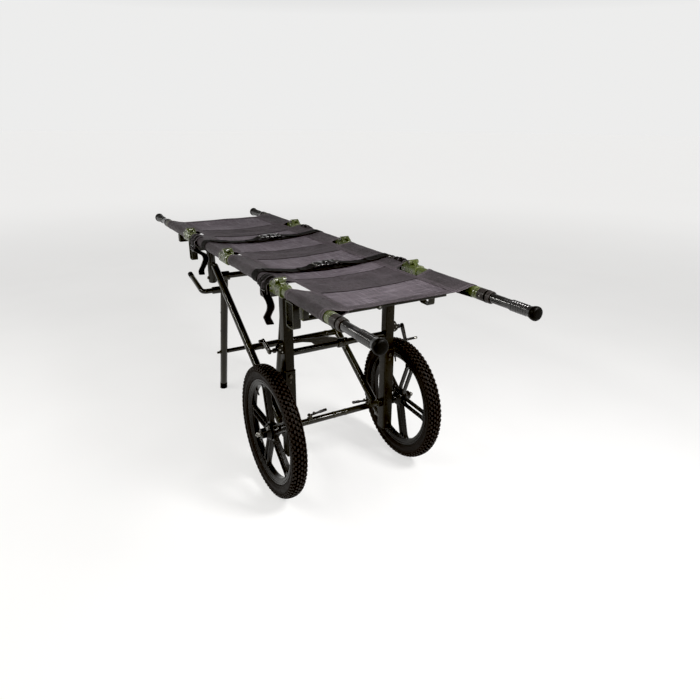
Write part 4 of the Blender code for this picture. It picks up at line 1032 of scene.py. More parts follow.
# ---------------------------------------------------------------- rear stand
leg_dir = unit((0, 0.1526, -0.655))
leg_len = 0.655 / -leg_dir[2]
for side, s in SIDES:
    top = np.array([s * 0.162, REAR_Y, 0.655])
    p = Piece(f"{side}_stand_leg_tube")
    rod(p, top + leg_dir * 0.016, top + leg_dir * (leg_len - 0.036), 0.0180, FRAME, 48)
    lathe(p, fillet([(0.0148, -0.023), (0.0220, -0.023), (0.0220, 0.023), (0.0148, 0.023)], 0.0012, 2, closed=True), top, (1, 0, 0), FRAME, 56, closed=True, wear=[0, 0.5, 0.5, 0] * 3)
    at = top + leg_dir * ((0.655 - 0.228) / -leg_dir[2])
    rod(p, at + np.array([s * 0.010, 0, 0]), at + np.array([s * 0.0205, 0, 0]), 0.0100, FRAME, 32)
    hex_head(p, at + np.array([s * 0.0200, 0, 0]), (s, 0, 0), 0.0105, 0.0160, DARK_STEEL)
    for f in (0.30, 0.46):
        c = top + leg_dir * leg_len * f
        lathe(p, [(0.0030, -0.0003), (0.0048, 0.0), (0.0050, 0.0005), (0.0040, 0.0008), (0.0030, 0.0004)], c + np.array([s * 0.0179, 0, 0]), (s, 0, 0), FRAME, 20, closed=True, wear=1.0)
    # point that the lock lever turns on
    side_at = np.array([s * 0.1795, 0.416, 0.586])
    p.done("stand", f"{side}_stand_leg")
    # foot cap with grip rings, cut level with the ground
    p = Piece(f"{side}_foot_cap_rubber")
    x, y, d = basis(leg_dir)
    bottom = top + leg_dir * leg_len
    n = 48
    levels = [(-0.0355, 0.0178), (-0.0353, 0.0184), (-0.0340, 0.0186), (-0.0280, 0.0186), (-0.0272, 0.0180), (-0.0262, 0.0180), (-0.0254, 0.0186), (-0.0200, 0.0186), (-0.0192, 0.0180), (-0.0182, 0.0180), (-0.0174, 0.0186), (-0.0110, 0.0186), (0.0, 0.0186)]
    verts, faces, rings = [], [], []
    for i, (t, r) in enumerate(levels):
        ring = []
        for k in range(n):
            a = math.tau * k / n
            q = bottom + d * t + (x * math.cos(a) + y * math.sin(a)) * r
            if i == len(levels) - 1:
                q = q + d * ((0.0002 - q[2]) / d[2])
            ring.append(len(verts))
            verts.append(q)
        rings.append(ring)
    for a, b in zip(rings, rings[1:]):
        faces += [[a[k], a[(k + 1) % n], b[(k + 1) % n], b[k]] for k in range(n)]
    faces += [rings[0], rings[-1]]
    p.put(verts, faces, CAP)
    p.done("stand", f"{side}_foot_cap")
    # L-shaped lock lever
    p = Piece(f"{side}_lock_lever_bar")
    la = math.radians(13.6)
    tip = (s * 0.270, 0.416 + 0.200 * math.cos(la), 0.586 + 0.200 * math.sin(la))
    smooth_bar(p, [(s * 0.190, 0.416, 0.586), (s * 0.270, 0.416, 0.586), tip], 0.0120, FRAME, 32, 0.022, 8)
    lathe(p, [(0, 0.1808), (0.0160, 0.1808), (0.0170, 0.1818), (0.0170, 0.2208), (0.0160, 0.2218), (0, 0.2218)], (0, 0.416, 0.586), (s, 0, 0), FRAME, 48, wear=[0, 1, 0, 1, 0])
    d = np.array([0, math.cos(la), math.sin(la)])
    lathe(p, fillet([(0.0118, 0.160), (0.0124, 0.1605), (0.0124, 0.1950), (0.0118, 0.1960)], 0.0003, 1, closed=True), (s * 0.270, 0.416, 0.586), d, CAP, 40, closed=True)
    p.done(f"{side}_stand_lock", f"{side}_stand_lock_lever")
p = Piece("stand_cross_bar_tube")
at = np.array([0, REAR_Y, 0.655]) + leg_dir * ((0.655 - 0.228) / -leg_dir[2])
rod(p, at - np.array([0.1435, 0, 0]), at + np.array([0.1435, 0, 0]), 0.0110, FRAME, 40)
p.done("stand", "stand_cross_bar")

# ---------------------------------------------------------------- litter poles, castings, handles
X_, Y_, Z_ = np.array([1.0, 0, 0]), np.array([0, 1.0, 0]), np.array([0, 0, 1.0])


def half_casting(p, x, y, way, central, s):
    """One half of a pole hinge: ribbed casting round the pole, raised neck, knuckles and the bolts that clamp it."""
    a, b = sorted((y + way * 0.0008, y + way * 0.0448))
    # body: chamfered outline across the pole, extruded along it, in two steps
    outline = fillet([(-0.0150, 0.8142), (0.0150, 0.8142), (0.0233, 0.8220), (0.0233, 0.8460), (0.0165, 0.8550), (-0.0165, 0.8550), (-0.0233, 0.8460), (-0.0233, 0.8220)], 0.0040, 3, closed=True)
    plate(p, outline, (x, b, 0), X_, Z_, b - a, OLIVE, 0.0016)
    # stiffening ribs round the casting
    for f in (0.24, 0.78):
        yy = y + way * (0.0008 + 0.044 * f)
        rim = fillet([(-0.0152, 0.8140), (0.0152, 0.8140), (0.0236, 0.8219), (0.0236, 0.8462), (0.0167, 0.8553), (-0.0167, 0.8553), (-0.0236, 0.8462), (-0.0236, 0.8219)], 0.0042, 3, closed=True)
        plate(p, rim, (x, yy + 0.0016, 0), X_, Z_, 0.0032, OLIVE, 0.0006)
    spans = ((-0.0076, 0.0076),) if central else ((-0.0198, -0.0086), (0.0086, 0.0198))
    for u, v in spans:
        neck = [(-0.0010, 0.8500), (0.0245, 0.8500), (0.0245, 0.8590), (0.0150, 0.8640), (0.0070, 0.8705), (-0.0010, 0.8705)]
        q = [(y + way * c, z) for c, z in neck]
        plate(p, fillet(q, 0.0016, 2, closed=True), (x + u, 0, 0), Y_, Z_, v - u, OLIVE, 0.0008)
        lathe(p, [(0, u), (0.0078, u), (0.0084, u + 0.0007), (0.0084, v - 0.0007), (0.0078, v), (0, v)], (x, y, KNUCKLE_Z), X_, OLIVE, 36, wear=[0, 1, 0.3, 1, 0])
    if not central:
        for e in (-1, 1):
            lathe(p, [(0, 0), (0.0050, 0), (0.0052, 0.0006), (0.0044, 0.0016), (0.0020, 0.0022), (0, 0.0022)], (x + e * 0.0197, y, KNUCKLE_Z), (e, 0, 0), STEEL, 28, wear=[0, 1, 1, 0, 0])
    # clamp bolts on both flanks and rivets on the top
    for e in (-1, 1):
        at = (x + e * 0.0226, y + way * 0.0235, 0.8340)
        lathe(p, [(0, 0), (0.0062, 0), (0.0064, 0.0008), (0.0058, 0.0012), (0, 0.0012)], at, (e, 0, 0), STEEL, 28, wear=[0, 1, 1, 0])
        lathe(p, [(0, 0.001), (0.0044, 0.001), (0.0044, 0.0034), (0.0036, 0.0042), (0, 0.0042)], at, (e, 0, 0), STEEL, 6)
    for e in (-1, 1):
        lathe(p, [(0, 0), (0.0030, 0), (0.0028, 0.0012), (0.0014, 0.0020), (0, 0.0021)], (x + e * 0.0105, y + way * 0.0370, 0.8546), Z_, STEEL, 20)
    # folding strip along the top of the casting
    u, v = sorted((y + way * 0.0300, y + way * 0.0445))
    block(p, (x - 0.0050, u, 0.8540), (x + 0.0050, v, 0.8575), OLIVE, 0.0010)


for side, s in SIDES:
    x = s * POLE_X
    for end, way, body in (("front", -1, "litter_front"), ("rear", 1, "litter_rear")):
        p = Piece(f"{side}_{end}_middle_pole_tube")
        rod(p, (x, way * 0.0100, POLE_Z), (x, way * (HINGE_Y - 0.0100), POLE_Z), POLE_R, OLIVE, 48)
        half_casting(p, x, 0.0, way, way > 0, s)
        half_casting(p, x, way * HINGE_Y, -way, False, s)
        for yy in (0.052, HINGE_Y - 0.052):
            lathe(p, fillet([(0.0188, yy - 0.0040), (0.0200, yy - 0.0036), (0.0200, yy + 0.0036), (0.0188, yy + 0.0040)], 0.0005, 1, closed=True), (x, 0, POLE_Z), (0, way, 0), OLIVE, 48, closed=True, wear=0.8)
        p.done(body, f"{side}_{end}_middle_pole")
    for end, way, body in (("front", -1, "front_end"), ("rear", 1, "rear_end")):
        p = Piece(f"{side}_{end}_end_pole_tube")
        prof = [(0, 0.711), (0.0163, 0.711), (0.0163, 0.9499), (0.0178, 0.9500), (0.0184, 0.9494), (0.0184, 0.8960),
                (0.0203, 0.8950), (0.0206, 0.8935), (0.0206, 0.8850), (0.0200, 0.8842), (0.0200, 0.8812), (0.0206, 0.8804), (0.0206, 0.8760), (0.0202, 0.8740), (0.0190, 0.8725), (0.0190, 0.5310), (0, 0.5310)]
        lathe(p, prof, (x, 0, POLE_Z), (0, way, 0), OLIVE, 56, wear=[0, 0, 1, 1, 0, 0.4, 1, 0.2, 1, 0.4, 1, 0.2, 0.8, 0.4, 0, 0])
        # grey collar in two steps with a dark ring between them
        lathe(p, fillet([(0.0182, 0.8958), (0.0203, 0.8960), (0.0205, 0.8990), (0.0205, 0.9262), (0.0198, 0.9270), (0.0182, 0.9272)], 0.0005, 2, closed=True), (x, 0, POLE_Z), (0, way, 0), COLLAR, 56, closed=True, wear=0.25)
        lathe(p, fillet([(0.0182, 0.9274), (0.0209, 0.9276), (0.0212, 0.9290), (0.0212, 0.9330), (0.0208, 0.9344), (0.0182, 0.9346)], 0.0005, 2, closed=True), (x, 0, POLE_Z), (0, way, 0), CAP, 56, closed=True)
        lathe(p, fillet([(0.0182, 0.9348), (0.0204, 0.9350), (0.0206, 0.9365), (0.0206, 0.9480), (0.0200, 0.9498), (0.0166, 0.9506), (0.0164, 0.9501), (0.0182, 0.9490)], 0.0005, 2, closed=True), (x, 0, POLE_Z), (0, way, 0), COLLAR, 56, closed=True, wear=0.5)
        half_casting(p, x, way * HINGE_Y, way, True, s)
        # locking button in the ferrule
        lathe(p, [(0, 0), (0.0034, 0), (0.0034, 0.0014), (0.0024, 0.0022), (0, 0.0024)], (x - s * 0.0204, way * 0.911, POLE_Z), (-s, 0, 0), STEEL, 20, wear=[0, 0, 1, 0])
        p.done(body, f"{side}_{end}_end_pole")

        # handle: glossy tube, fine ribs, flared domed end
        out = -0.040 if (side, end) == ("right", "rear") else 0.0
        tip = 1.143
        prof = [(0, tip), (0.0075, tip - 0.0002), (0.0150, tip - 0.0010), (0.0196, tip - 0.0030), (0.0216, tip - 0.0062), (0.0222, tip - 0.0100), (0.0218, tip - 0.0140), (0.0204, tip - 0.0195), (0.0188, tip - 0.0260), (0.0178, tip - 0.0320), (0.0172, tip - 0.0345)]
        w = [0.0] * (len(prof) - 1)
        y0 = tip - 0.0375
        for k in range(10):
            c = y0 - k * 0.0100
            # the last ribs are low, so that the handle slides into the pole
            lo, hi, top = (0.0158, 0.0176, 0.0181) if k < 7 else (0.0146, 0.0154, 0.0157)
            prof += [(lo, c), (lo, c - 0.0016), (hi, c - 0.0034), (top, c - 0.0054), (hi, c - 0.0076)]
            w += [0.0, 0.0, 0.3, 0.7, 0.7]
        end_of_ribs = y0 - 10 * 0.0100
        prof += [(0.0150, end_of_ribs), (0.0158, end_of_ribs - 0.004), (0.0158, end_of_ribs - 0.0100), (0.0157, end_of_ribs - 0.0125), (0.0157, end_of_ribs - 0.0135), (0.0158, 0.8085), (0.0150, 0.8080), (0, 0.8080)]
        w += [0.0] * 8
        prof = [(r, t + out) for r, t in prof]
        p = Piece(f"{side}_{end}_handle_grip")
        lathe(p, prof, (x, 0, POLE_Z), (0, way, 0), GRIP, 56, wear=w[:len(prof) - 1])
        # soft dark cap over the flared end
        capo = [(0, tip + 0.0), (0.0078, tip - 0.00005), (0.0154, tip - 0.0008), (0.0201, tip - 0.0028), (0.0221, tip - 0.0062), (0.02265, tip - 0.0100), (0.0222, tip - 0.0142), (0.0208, tip - 0.0200), (0.0200, tip - 0.0215), (0.0180, tip - 0.0215), (0.0180, tip - 0.0040), (0, tip - 0.0030)]
        lathe(p, [(r, t + out) for r, t in capo], (x, 0, POLE_Z), (0, way, 0), CAP, 56)
        p.done(f"{side}_{end}_handle_tube", f"{side}_{end}_handle", slot="grip_rubber")

    # stirrup feet: strip bent to a U, with lips, rivets and a rubbed sole
    for end, y0, y1, z0, body, node in (("front", -0.646, -0.590, 0.8165, "front_end", "front"), ("rear", 0.4785, 0.5195, 0.8135, "litter_rear", "rear")):
        p = Piece(f"{side}_{end}_stirrup_strip")
        yo, yi = (y0, y1), (y0 + 0.0045, y1 - 0.0045)
        outer = fillet([(yo[0], 0.727), (yo[1], 0.727), (yo[1], z0), (yo[0], z0)], [0.012, 0.012, 0.003, 0.003], 6, closed=True)
        inner = fillet([(yi[0], 0.7315), (yi[1], 0.7315), (yi[1], z0 - 0.0045), (yi[0], z0 - 0.0045)], [0.008, 0.008, 0.002, 0.002], 6, closed=True)
        plate(p, outer, (x - 0.014, 0, 0), Y_, Z_, 0.028, STRIP, 0.0009, hole=inner)
        for e in (-1, 1):
            lathe(p, [(0, 0), (0.0034, 0), (0.0032, 0.0010), (0.0018, 0.0018), (0, 0.0019)], (x + e * 0.0065, (y0 + y1) / 2, 0.7314), Z_, STEEL, 20)
        p.done(body, f"{side}_{end}_stirrup")

# spreader bars with a knee hinge in the middle
for end, y, body in (("front", -0.700, "front_end"), ("rear", 0.700, "rear_end")):
    p = Piece(f"{end}_spreader_strip")
    for s in (-1, 1):
        lo, hi = sorted((s * 0.0102, s * 0.2838))
        block(p, (lo, y - 0.0138, 0.7782), (hi, y + 0.0138, 0.7878), STRIP, 0.0022)
        a, b = sorted((s * 0.2612, s * 0.2838))
        block(p, (a, y - 0.0138, 0.7822), (b, y + 0.0138, 0.8164), STRIP, 0.0022)
        # pressed channel along the strip and pivot bolts
        lo, hi = sorted((s * 0.030, s * 0.250))
        block(p, (lo, y - 0.0045, 0.7874), (hi, y + 0.0045, 0.7892), STRIP, 0.0008)
        for xx in (0.0205, 0.2550):
            lathe(p, [(0, 0), (0.0058, 0), (0.0060, 0.0008), (0.0050, 0.0024), (0.0022, 0.0030), (0, 0.0030)], (s * xx, y, 0.7876), Z_, STEEL, 24, wear=[0, 1, 1, 0, 0])
            lathe(p, [(0, 0), (0.0054, 0), (0.0054, 0.0012), (0, 0.0014)], (s * xx, y, 0.7784), -Z_, STEEL, 24)
    for k in range(5):
        u = y - 0.0160 + k * 0.0064
        lathe(p, [(0, u + 0.0002), (0.0092, u + 0.0002), (0.0099, u + 0.0009), (0.0099, u + 0.0056), (0.0092, u + 0.0063), (0, u + 0.0063)], (0, 0, 0.783), Y_, STRIP, 36, wear=[0, 1, 0.2, 1, 0])
    for e in (-1, 1):
        lathe(p, [(0, 0), (0.0044, 0), (0.0044, 0.0010), (0.0030, 0.0018), (0, 0.0019)], (0, y + e * 0.0160, 0.783), (0, e, 0), STEEL, 24, wear=[0, 0, 1, 0])
    p.done(body, f"{end}_spreader_bar")

# ---------------------------------------------------------------- bed
SEAM = 0.207
_ph = [RND.uniform(0, 6.28) for _ in range(24)]


def ripple(x, y):
    """Small creases in the stretched cloth, dying out towards the pole sleeves."""
    fade = max(0.0, 1 - (abs(x) / SEAM) ** 4)
    w = 0.0009 * math.sin(21 * y + 5 * x + _ph[0]) + 0.0007 * math.sin(37 * y - 19 * x + _ph[1]) + 0.0005 * math.sin(61 * y + 43 * x + _ph[2])
    w += 0.0004 * math.sin(118 * y - 23 * x + _ph[3]) * math.sin(9 * x + _ph[4])
    for h in (-HINGE_Y, 0.0, HINGE_Y):
        d = (y - h) / 0.030
        w -= 0.0032 * math.exp(-d * d) * (0.8 + 0.4 * math.sin(17 * x + _ph[5]))
        e = (y - h) / 0.11
        w += 0.0010 * math.exp(-e * e) * math.sin(70 * x + 26 * (y - h) + _ph[6]) * min(1.0, abs(x) / 0.1)
    return w * fade


def bed_z(x, y):
    # the cloth is pulled flatter than the pieces below it, most of all at its two free edges
    pull = 0.0088 + 0.0050 * math.exp(-((y + 0.862) / 0.10) ** 2) + 0.0110 * math.exp(-((y - 0.876) / 0.11) ** 2)
    taut = pull * max(0.0, 1 - (x / SEAM) ** 2)
    return 0.8215 + 0.473 * x * x + taut + ripple(x, y)


def bed_normal(x, y):
    e = 0.002
    gx = (bed_z(x + e, y) - bed_z(x - e, y)) / (2 * e)
    gy = (bed_z(x, y + e) - bed_z(x, y - e)) / (2 * e)
    return unit((-gx, -gy, 1))


def front_edge(x):
    return -0.862 + 0.028 * (1 - min(1.0, abs(x) / 0.26) ** 2)


def rear_edge(x):
    return 0.876 - 0.007 * (1 - min(1.0, abs(x) / 0.26) ** 2)


def arc_u(x):
    return x + 0.473 ** 2 * 4 * x ** 3 / 6


# hinge line, start and end of the cut beside it, and how far the cloth is cut in (or let out)
NOTCH = ((-HINGE_Y, -0.100, 0.036, 0.012), (0.0, -0.075, 0.060, -0.060), (HINGE_Y, -0.090, 0.070, -0.060))


def narrow(y):
    w = 0.0
    for h, a, b, k in NOTCH:
        d = min(y - (h + a), (h + b) - y)
        f = min(1.0, max(0.0, (d + 0.004) / 0.022))
        w += k * f * f * (3 - 2 * f)
    return w


def bed_panel(name, y0, y1, rows, front=False, rear=False, t=0.0013, lift=0.0, mat=MESH, half=SEAM, columns=44, piece=None):
    own = piece is None
    p = piece or Piece(name)
    xs = np.linspace(-half, half, columns + 1)
    G = np.zeros((columns + 1, rows + 1, 3))
    UV = np.zeros((columns + 1, rows + 1, 2))
    for i, x_full in enumerate(xs):
        a = front_edge(x_full) if front else y0
        b = rear_edge(x_full) if rear else y1
        for j in range(rows + 1):
            y = a + (b - a) * j / rows
            x = x_full * (1 - narrow(y))
            G[i, j] = (x, y, bed_z(x, y) + lift)
            UV[i, j] = (arc_u(x), y)
    sheet_from(p, G, t, mat, uv=UV, wear_rim=0.3)
    return p


def seam_line(p, y, x0=-0.186, x1=0.186, lift=0.0012, edge=None):
    pts, nrm = [], []
    for x in np.linspace(x0, x1, 60):
        yy = (edge(x) + y) if edge else y
        pts.append((x, yy, bed_z(x, yy) + lift))
        nrm.append(bed_normal(x, yy))
    stitches(p, pts, nrm)


def side_line(p, x, y0, y1, lift):
    pts, nrm = [], []
    for y in np.linspace(y0, y1, max(8, int((y1 - y0) / 0.008))):
        xx = x * (1 - narrow(y))
        pts.append((xx, y, bed_z(xx, y) + lift))
        nrm.append(bed_normal(xx, y))
    stitches(p, pts, nrm)


def blend_piece(p, a, b, start, end, slot=None):
    obj = p.done(None, slot=slot)
    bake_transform(obj)
    return obj


BED = {}
# front panel over the front hinge
def nodes_of(obj, *names):
    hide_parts(*names)
    return obj


CROSS = {
    "front": ("front_end", "litter_front", -0.595, -0.447),
    "middle": ("litter_front", "litter_rear", -0.075, 0.075),
    "rear": ("litter_rear", "rear_end", 0.447, 0.595),
}
SPLIT = 0.2600
panels = {
    "front": bed_panel("front_mesh_panel", -0.862, -SPLIT, 84, front=True),
    "middle": bed_panel("middle_mesh_panel", -SPLIT - 0.0004, SPLIT + 0.0004, 76),
    "rear": bed_panel("rear_mesh_panel", SPLIT, 0.876, 84, rear=True),
}
for k, p in panels.items():
    a, b, y0, y1 = CROSS[k]
    blend_piece(p, a, b, y0, y1)
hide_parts("front_end_bed", "front_middle_bed")
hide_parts("rear_end_bed", "rear_middle_bed")

# reinforcing bands over the hinges, hems at the two ends, tapes down the two seams
trims = {}
for k, h in (("front", -HINGE_Y), ("middle", 0.0), ("rear", HINGE_Y)):
    p = Piece(f"{k}_hinge_band")
    lo, hi = {"front": (h - 0.132, h + 0.062), "middle": (h - 0.112, h + 0.040), "rear": (h - 0.096, h + 0.080)}[k]
    bed_panel("", lo, hi, 30, t=0.0009, lift=0.0011, mat=BAND, half=0.2035, piece=p)
    for yy in (lo + 0.0035, lo + 0.0085, hi - 0.0085, hi - 0.0035):
        seam_line(p, yy, lift=0.0018)
    seam_line(p, h, lift=0.0018)
    for yy in (lo, hi):
        sweep(p, [(x, yy, bed_z(x, yy) + 0.0014) for x in np.linspace(-0.189, 0.189, 60)], 0.0011, WEB, 8)
    a, b, y0, y1 = CROSS[k]
    trims[k] = [blend_piece(p, a, b, y0, y1)]

p = Piece("front_hem")
for lift, inset in ((0.0012, 0.0),):
    xs = np.linspace(-0.2045, 0.2045, 45)
    G = np.zeros((45, 6, 3)); UV = np.zeros((45, 6, 2))
    for i, x in enumerate(xs):
        for j in range(6):
            y = front_edge(x) - 0.0008 + 0.028 * j / 5
            G[i, j] = (x, y, bed_z(x, y) + lift)
            UV[i, j] = (arc_u(x), y)
    sheet_from(p, G, 0.0011, BAND, uv=UV, wear_rim=0.5)
roll = [(x, front_edge(x) - 0.0012, bed_z(x, front_edge(x)) + 0.0002) for x in np.linspace(-0.206, 0.206, 60)]
sweep(p, roll, 0.0019, BAND, 12)
for off in (0.0040, 0.0235):
    seam_line(p, off, edge=front_edge, lift=0.0020)
trims["front"].append(blend_piece(p, *CROSS["front"]))
p = Piece("rear_hem")
G = np.zeros((45, 6, 3)); UV = np.zeros((45, 6, 2))
for i, x in enumerate(np.linspace(-0.2045, 0.2045, 45)):
    for j in range(6):
        y = rear_edge(x) + 0.0008 - 0.028 * j / 5
        G[i, j] = (x, y, bed_z(x, y) + 0.0012)
        UV[i, j] = (arc_u(x), y)
sheet_from(p, G, 0.0011, BAND, uv=UV, wear_rim=0.5)
roll = [(x, rear_edge(x) + 0.0012, bed_z(x, rear_edge(x)) + 0.0002) for x in np.linspace(-0.206, 0.206, 60)]
sweep(p, roll, 0.0019, BAND, 12)
for off in (-0.0040, -0.0235):
    seam_line(p, off, edge=rear_edge, lift=0.0020)
trims["rear"].append(blend_piece(p, *CROSS["rear"]))

# seam tapes along both edges, one piece for each panel
for k, y0, y1 in (("front", -0.8585, -SPLIT), ("middle", -SPLIT, SPLIT), ("rear", SPLIT, 0.8725)):
    p = Piece(f"{k}_seam_tapes")
    for s in (-1, 1):
        xs = s * np.linspace(0.1905, 0.2085, 5)
        m = int((y1 - y0) / 0.008)
        G = np.zeros((5, m + 1, 3)); UV = np.zeros((5, m + 1, 2))
        for i, x in enumerate(xs):
            for j in range(m + 1):
                y = y0 + (y1 - y0) * j / m
                xx = x * (1 - narrow(y))
                G[i, j] = (xx, y, bed_z(xx, y) + 0.0020)
                UV[i, j] = (x, y)
        sheet_from(p, G, 0.0008, BAND, uv=UV, wear_rim=0.5)
        for xx in (0.1930, 0.2055):
            side_line(p, s * xx, y0, y1, 0.0026)
    a, b, q0, q1 = CROSS[k]
    trims[k].append(blend_piece(p, a, b, q0, q1))

# ---------------------------------------------------------------- pole sleeves
SLEEVE_R = 0.0201


def tangent(px, pz, r, upper):
    """Angle on the pole's circle where a line from (px, pz), inboard of it, touches."""
    dx, dz = px - POLE_X, pz - POLE_Z
    d = math.hypot(dx, dz)
    base = math.atan2(dz, dx)
    return base - math.acos(r / d) if upper else base + math.acos(r / d)


def sleeve_path(k, cradle, bulge):
    """Points (|x|, z) from the upper seam over and round the pole to the lower seam. cradle is 0 in the open, 1 in a cradle."""
    x0 = 0.2040
    up = [(x, 0.8215 + 0.473 * x * x + 0.0010) for x in np.linspace(x0, 0.2560, 9)]
    r = SLEEVE_R
    a0 = tangent(0.2560, up[-1][1], r, True)
    a0 = math.radians(108)
    px, pz = POLE_X + r * math.cos(a0), POLE_Z + r * math.sin(a0)
    a1n = tangent(0.2050, 0.8392, r, False) - 2 * math.pi
    a1c = math.radians(159 - 360)
    a1 = a1n + (a1c - a1n) * cradle
    arc = [(POLE_X + (r + bulge * math.sin((a - a0) * 1.3) ** 2) * math.cos(a), POLE_Z + (r + bulge * math.sin((a - a0) * 1.3) ** 2) * math.sin(a)) for a in np.linspace(a0, a1, 30)]
    last = arc[-1]
    end = (x0 + 0.0010, 0.8392)
    if cradle > 0:
        mid = (0.2440, 0.8440 * cradle + (1 - cradle) * (end[1] + (last[1] - end[1]) * 0.64))
    else:
        mid = (last[0] + (end[0] - last[0]) * 0.5, (last[1] + end[1]) / 2)
    m1 = [(last[0] + (mid[0] - last[0]) * t, last[1] + (mid[1] - last[1]) * t) for t in (0.33, 0.66)]
    m2 = [(mid[0] + (end[0] - mid[0]) * t, mid[1] + (end[1] - mid[1]) * t) for t in (0.0, 0.25, 0.5, 0.75, 1.0)]
    return up + arc + m1 + m2


def cradle_weight(y):
    w = 0.0
    for c in (POST_Y, REAR_Y):
        d = abs(y - c)
        w = max(w, 1.0 if d < 0.036 else max(0.0, 1 - (d - 0.036) / 0.030))
    return w * w * (3 - 2 * w)


# name, body, the two ends at the pole, and how much further each end runs at the seam
SLEEVES = (
    ("front_end", "front_end", -0.862, -0.602, 0.0, -0.030),
    ("front_middle", "litter_front", -0.479, -0.060, -0.010, 0.020),
    ("rear_middle", "litter_rear", 0.0490, 0.450, -0.016, 0.014),
    ("rear_end", "rear_end", 0.5690, 0.876, -0.012, 0.0),
)
for side, s in SIDES:
    for name, body, y0, y1, slant0, slant1 in SLEEVES:
        p = Piece(f"{side}_{name}_pole_sleeve")
        phase = RND.uniform(0, 6)
        count = int((y1 - y0) / 0.006)
        cols = []
        for j in range(count + 1):
            f = j / count
            y = y0 + (y1 - y0) * f
            b = 0.00035 + 0.0005 * (0.5 + 0.5 * math.sin(31 * y + phase)) + 0.0004 * (0.5 + 0.5 * math.sin(83 * y + 2 * phase))
            cw = cradle_weight(y)
            path = sleeve_path(0, cw, b * (1 - cw))
            col = []
            for i, (ax, z) in enumerate(path):
                q = i / (len(path) - 1)
                # the ends of the cloth run slanted from the seam to the top of the pole
                seamward = max(0.0, 1 - q / 0.42) if q < 0.5 else max(0.0, 1 - (1 - q) / 0.25)
                yy = y
                if slant1 and f > 0.70:
                    yy = y + slant1 * seamward * ((f - 0.70) / 0.30)
                if slant0 and f < 0.30:
                    yy = y + slant0 * seamward * ((0.30 - f) / 0.30)
                wob = 0.0009 * math.sin(27 * yy + 60 * ax + phase) * math.sin(math.pi * min(1.0, q / 0.24)) if q < 0.24 else 0.0
                col.append((s * ax, yy, z + wob))
            cols.append(col)
        G = np.array(cols).transpose(1, 0, 2)
        sheet_from(p, G, 0.0008, NYLON, wear_rim=0.6)
        # hems at both ends of the sleeve, sewn
        for j0, j1 in ((0, 3), (count - 3, count)):
            H = G[:36, j0:j1 + 1].copy()
            N = np.cross(np.gradient(H, axis=0), np.gradient(H, axis=1))
            N = N / np.linalg.norm(N, axis=2)[:, :, None]
            mid_n = N[3, 0]
            if mid_n[2] < 0:
                N = -N
            if cradle_weight(H[0, 0, 1]) > 0:
                continue
            sheet_from(p, H + N * 0.0009, 0.0008, NYLON, wear_rim=0.7)
            jj = 1 if j0 == 0 else H.shape[1] - 2
            line = H[:30, jj] + N[:30, jj] * 0.0014
            stitches(p, list(line), [n for n in N[:30, jj]])
        obj = p.done(body)

# ---------------------------------------------------------------- cross straps with their buckles
def strap_z(x):
    return 0.8590 - 0.0228 * (1 - (x / POLE_X) ** 2)


def side_release(p, at, yaw=0.0, k=1.0):
    """A centre buckle: two mating halves, a ladder bar and bright webbing bars."""
    T = Matrix.Translation(at) @ Matrix.Rotation(yaw, 4, "Z")

    def part(lo, hi, mat, bevel, seg=3):
        c = (Vector(lo) + Vector(hi)) / 2
        w = T @ c
        d = (Vector(hi) - Vector(lo)) / 2
        block(p, w - d, w + d, mat, bevel, seg, turn=Matrix.Rotation(yaw, 4, "Z"))

    part((-0.006, -0.0250, -0.0050), (0.030, 0.0250, 0.0090), BUCKLE, 0.0060, 4)
    part((-0.036, -0.0235, -0.0045), (-0.008, 0.0235, 0.0078), BUCKLE, 0.0052, 4)
    for e in (-1, 1):
        lo, hi = sorted((e * 0.0180, e * 0.0300))
        part((-0.014, lo, -0.0030), (0.014, hi, 0.0074), BUCKLE, 0.0042, 4)
        lo, hi = sorted((e * 0.0205, e * 0.0255))
        part((0.028, lo, -0.0045), (0.050, hi, 0.0070), BUCKLE, 0.0022)
        part((-0.052, lo, -0.0040), (-0.034, hi, 0.0062), BUCKLE, 0.0022)
    part((-0.012, -0.0120, 0.0070), (0.016, 0.0120, 0.0120), BUCKLE, 0.0024, 3)
    for xx in (0.0360, 0.0480, -0.0400, -0.0505):
        a = T @ Vector((xx, -0.0235, 0.0030))
        b = T @ Vector((xx, 0.0235, 0.0030))
        rod(p, a, b, 0.0024, STEEL if xx in (0.0480, -0.0505) else BUCKLE, 16)
    for xx in (-0.006, 0.002, 0.010):
        a = T @ Vector((xx, -0.0100, 0.0120))
        b = T @ Vector((xx, 0.0100, 0.0120))
        rod(p, a, b, 0.0012, BUCKLE, 10)


def wrap_round(s, y, inner=0.2360, r=0.0222, turns=-300):
    """A strap's line (x, z) from the bed side over the pole and round it."""
    a0, a1 = math.radians(112), math.radians(112 + turns)
    return [(POLE_X + r * math.cos(a), POLE_Z + r * math.sin(a)) for a in np.linspace(a0, a1, 44)]


